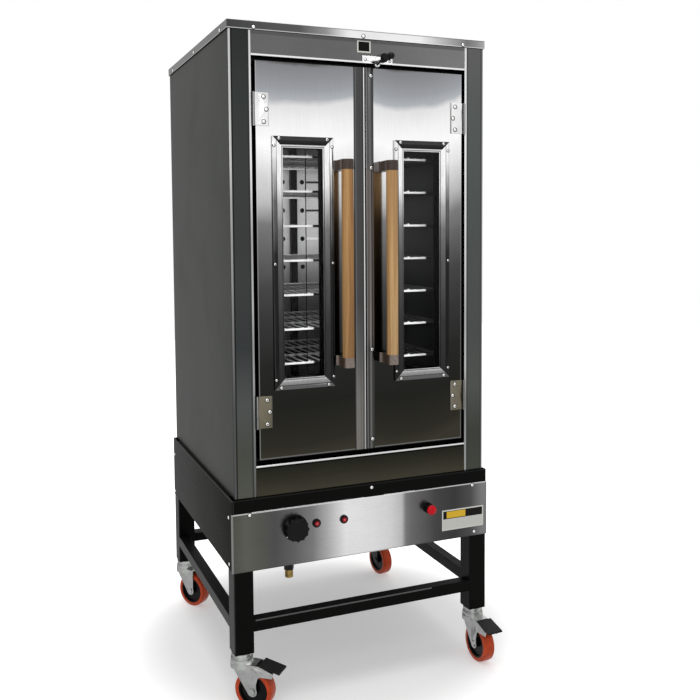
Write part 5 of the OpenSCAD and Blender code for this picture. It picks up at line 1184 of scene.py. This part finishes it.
def seated(name, seatName, points, body, radius, height, lip=rivetSet["lip"]):
    screws(name, points, body, radius, height)
    seats(seatName, points, body, radius + lip)


for side, handed in (("left", -1), ("right", 1)):
    low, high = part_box(side + "_window_trim")
    middleX, middleZ = (low.x + high.x) / 2, (low.z + high.z) / 2
    face = frontY - rivetSet["trimThick"]
    body = bodyOf[side + "_window_trim"]
    corners = [(middleX + s * rivetSet["cornerX"], face, middleZ + t * rivetSet["cornerZ"])
               for s in (-1, 1) for t in (-1, 1)]
    sides = [(middleX + s * rivetSet["sideX"], face, middleZ + z) for s in (-1, 1) for z in rivetSet["sideZ"]]
    leafs = [(handed * (hingeSet["pin"] - inward), frontY - hingeSet["out"], (low.z + high.z) / 2 + up)
             for low, high in meshIslands(side + "_door_hinges") for inward, up in hingeSet["screws"]]
    seated(side + "TrimRivets", side + "TrimRivetSeats", corners, body, rivetSet["cornerRadius"],
           rivetSet["cornerHeight"])
    seated(side + "TrimPins", side + "TrimPinSeats", sides, body, rivetSet["sideRadius"],
           rivetSet["sideHeight"], rivetSet["sideLip"])
    seated(side + "HingeScrews", side + "HingeSeats", leafs, body, hingeSet["radius"], hingeSet["height"])
sheetFace = frontY - rivetSet["sheetThick"]
meetings = [(rightMeet[0].x + rivetSet["meetIn"], sheetFace, rightDoor[0].z + up)
            for up in rivetSet["meetUp"]]
seated("meetingRivets", "meetingSeats", meetings, bodyOf["right_meeting_strip"], rivetSet["meetRadius"],
       rivetSet["meetHeight"])
seats("latchRivetSeats", [(x, sheetFace, latchSet["rivetZ"]) for x in latchSet["rivetX"]], "cabinet",
      latchSet["rivetSeat"])
# A pale disc at each lens's middle, a painted highlight
seats("lampCores", [(x, y + lampSet["coreIn"], z) for x, y, z in lampSpots], "cabinet", lampSet["core"],
      thickness=lampSet["coreThick"], finish="lensCore")
print("screws and rivets placed")

dotSet = {
    "angle": 222.0, "reach": 0.0302,        # degrees, and distance from the knob's middle
    "radius": 0.0018, "dome": (0.0009, 0.0007), "sunk": 0.0006,
    "skirt": 0.005,                         # how thick the knob's rim is, where the dot sits
}
knobLow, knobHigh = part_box("control_knob")
knobMiddle = (knobLow + knobHigh) / 2
dotTurn, dot, sunk = math.radians(dotSet["angle"]), dotSet["radius"], dotSet["sunk"]
topHeight, brimHeight = dotSet["dome"]
dotPlace = (knobMiddle.x + math.cos(dotTurn) * dotSet["reach"], knobHigh.y - dotSet["skirt"],
            knobMiddle.z + math.sin(dotTurn) * dotSet["reach"])
lathePiece("knobDot", [(0.0, topHeight), (dot * 0.7, brimHeight), (dot, 0.0), (dot, -sunk), (0.0, -sunk)],
           dotPlace, (0, -1, 0), 24, plains["dotWhite"], bodyOf["control_knob"], slotOf["control_knob"])

shelfSet = {"rod": 0.003, "wire": 0.002, "wires": 20, "corner": 0.012, "nib": 0.1445, "nibShift": 0.022}
for k in range(1, 8):
    node = "shelf_%d" % k
    low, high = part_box(node)
    centre = ((low.x + high.x) / 2, (low.y + high.y) / 2, low.z + shelfSet["rod"])
    runTree("wireShelf%d" % k, shelfTree, [centre], {
        "Width": high.x - low.x, "Depth": high.y - low.y, "Rod Radius": shelfSet["rod"],
        "Wire Radius": shelfSet["wire"], "Wires": shelfSet["wires"], "Corner": shelfSet["corner"],
        "Nib": shelfSet["nib"], "Nib Shift": shelfSet["nibShift"],
        "Finish": shelfChrome}, bodyOf[node], "shelf_chrome", [node])

# A thin sensing tube hangs just behind the front rods, in the middle of a gap between two wires
tubeSet = {"near": -0.1225, "in": 0.012, "radius": 0.0013}
shelfLow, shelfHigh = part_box("shelf_1")
pitch = (shelfHigh.x - shelfLow.x - 2 * shelfSet["rod"]) / (shelfSet["wires"] + 1)
firstWire = shelfLow.x + shelfSet["rod"]
tubeX = firstWire + (math.floor((tubeSet["near"] - firstWire) / pitch) + 0.5) * pitch
baffleLow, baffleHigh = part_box("fan_baffle")
tall = baffleHigh.z - baffleLow.z
lathePiece("sensingTube", [(0.0, 0.0), (tubeSet["radius"], 0.0), (tubeSet["radius"], tall), (0.0, tall)],
           (tubeX, shelfLow.y + tubeSet["in"], baffleLow.z), (0, 0, 1), 12, plains["blackEnamel"], "cabinet",
           slotOf["rack_supports"])
print("shelves built")

stageSet = {
    "floorSize": 14.0, "floorTone": 0.8, "floorGap": 0.0005,
    "glow": 0.3, "near": 0.4, "far": 0.78,      # the paper's glow under the object, and where it turns white
    "world": 0.55, "baffleGap": 0.1, "glassGap": 0.046,
}


def whiteSeen(tree):
    # The light path, and 1 for what the camera, metal and glass see
    path = addNode(tree, "ShaderNodeLightPath").outputs
    return path, mathNode(tree, "MAXIMUM", path["Is Camera Ray"],
                          mathNode(tree, "MAXIMUM", path["Is Glossy Ray"], path["Is Transmission Ray"]))


def makeFloor():
    bm = bmesh.new()
    half = stageSet["floorSize"] / 2
    height = cadBox[0].z - stageSet["floorGap"]
    bm.faces.new([bm.verts.new((x, y, height)) for x, y in
                  ((-half, -half), (half, -half), (half, half), (-half, half))])
    material, tree, shader, place = newMaterial("floorPaper")
    path, seen = whiteSeen(tree)
    noise = noiseNode(tree, place["Object"], 2.0)
    paper = mapNode(tree, noise, 0.0, 1.0, stageSet["floorTone"] - 0.01, stageSet["floorTone"] + 0.01)
    # A little away from the object the paper turns white for the camera and for glass
    distance = addNode(tree, "ShaderNodeVectorMath", {0: place["Object"]}, operation="LENGTH")
    fade = mapNode(tree, distance.outputs["Value"], stageSet["near"], stageSet["far"], stageSet["glow"], 1.0,
                   smooth=True)
    # Metal sees an even white floor
    feedAll(tree, shader, {
        "Base Color": times(tree, paper, minus(tree, 1.0, path["Is Glossy Ray"])),
        "Roughness": 0.9, "Specular IOR Level": 0.0, "Emission Color": (1, 1, 1, 1),
        "Emission Strength": times(tree, seen, mathNode(tree, "MAXIMUM", fade, path["Is Glossy Ray"]))})
    floor = bpy.data.objects.new("floor", meshOf("floor", bm, [material]))
    scene.collection.objects.link(floor)


def makeWorld():
    world = bpy.data.worlds.new("studio")
    scene.world = world
    world.use_nodes = True
    tree = world.node_tree
    strength = mapNode(tree, whiteSeen(tree)[1], 0.0, 1.0, stageSet["world"], 1.0)
    feedAll(tree, tree.nodes["Background"], {"Color": (1, 1, 1, 1), "Strength": strength})


def areaLight(name, place, aim, size, power):
    data = bpy.data.lights.new(name, "AREA")
    data.shape = "RECTANGLE"
    data.size, data.size_y = size
    data.energy = power
    lamp = bpy.data.objects.new(name, data)
    lamp.location = place
    lamp.rotation_euler = (Vector(aim) - Vector(place)).to_track_quat("-Z", "Y").to_euler()
    scene.collection.objects.link(lamp)
    return lamp


# Name, place, aim, size and power: two soft lamps outside, and three inside that no camera or glass sees
softLamps = [
    ("softTop", (-0.2, -0.3, 3.6), (0, 0, 0.4), (2.6, 2.6), 46.0),
    ("softFront", (-1.6, -3.2, 2.4), (0, 0, 0.9), (1.8, 1.8), 16.0),
]
beforeBaffle, behindGlass = baffleLow.y - stageSet["baffleGap"], frontY + stageSet["glassGap"]
cavityLamps = [
    ("rearCavityLamp", (0.04, beforeBaffle, 1.22), (0.04, baffleLow.y, 1.22), (0.42, 0.34), 0.8),
    ("leftCavityLamp", (-0.155, behindGlass, 1.11), (-0.155, 0.3, 1.11), (0.1, 0.58), 0.3),
    ("rightCavityLamp", (0.165, behindGlass, 1.11), (0.165, 0.3, 1.11), (0.1, 0.58), 0.3),
]
makeFloor()
makeWorld()
for row in softLamps:
    areaLight(*row)
for row in cavityLamps:
    lamp = areaLight(*row)
    lamp.visible_camera = lamp.visible_glossy = lamp.visible_transmission = False
scene.view_settings.view_transform = "Standard"
print("stage lit")
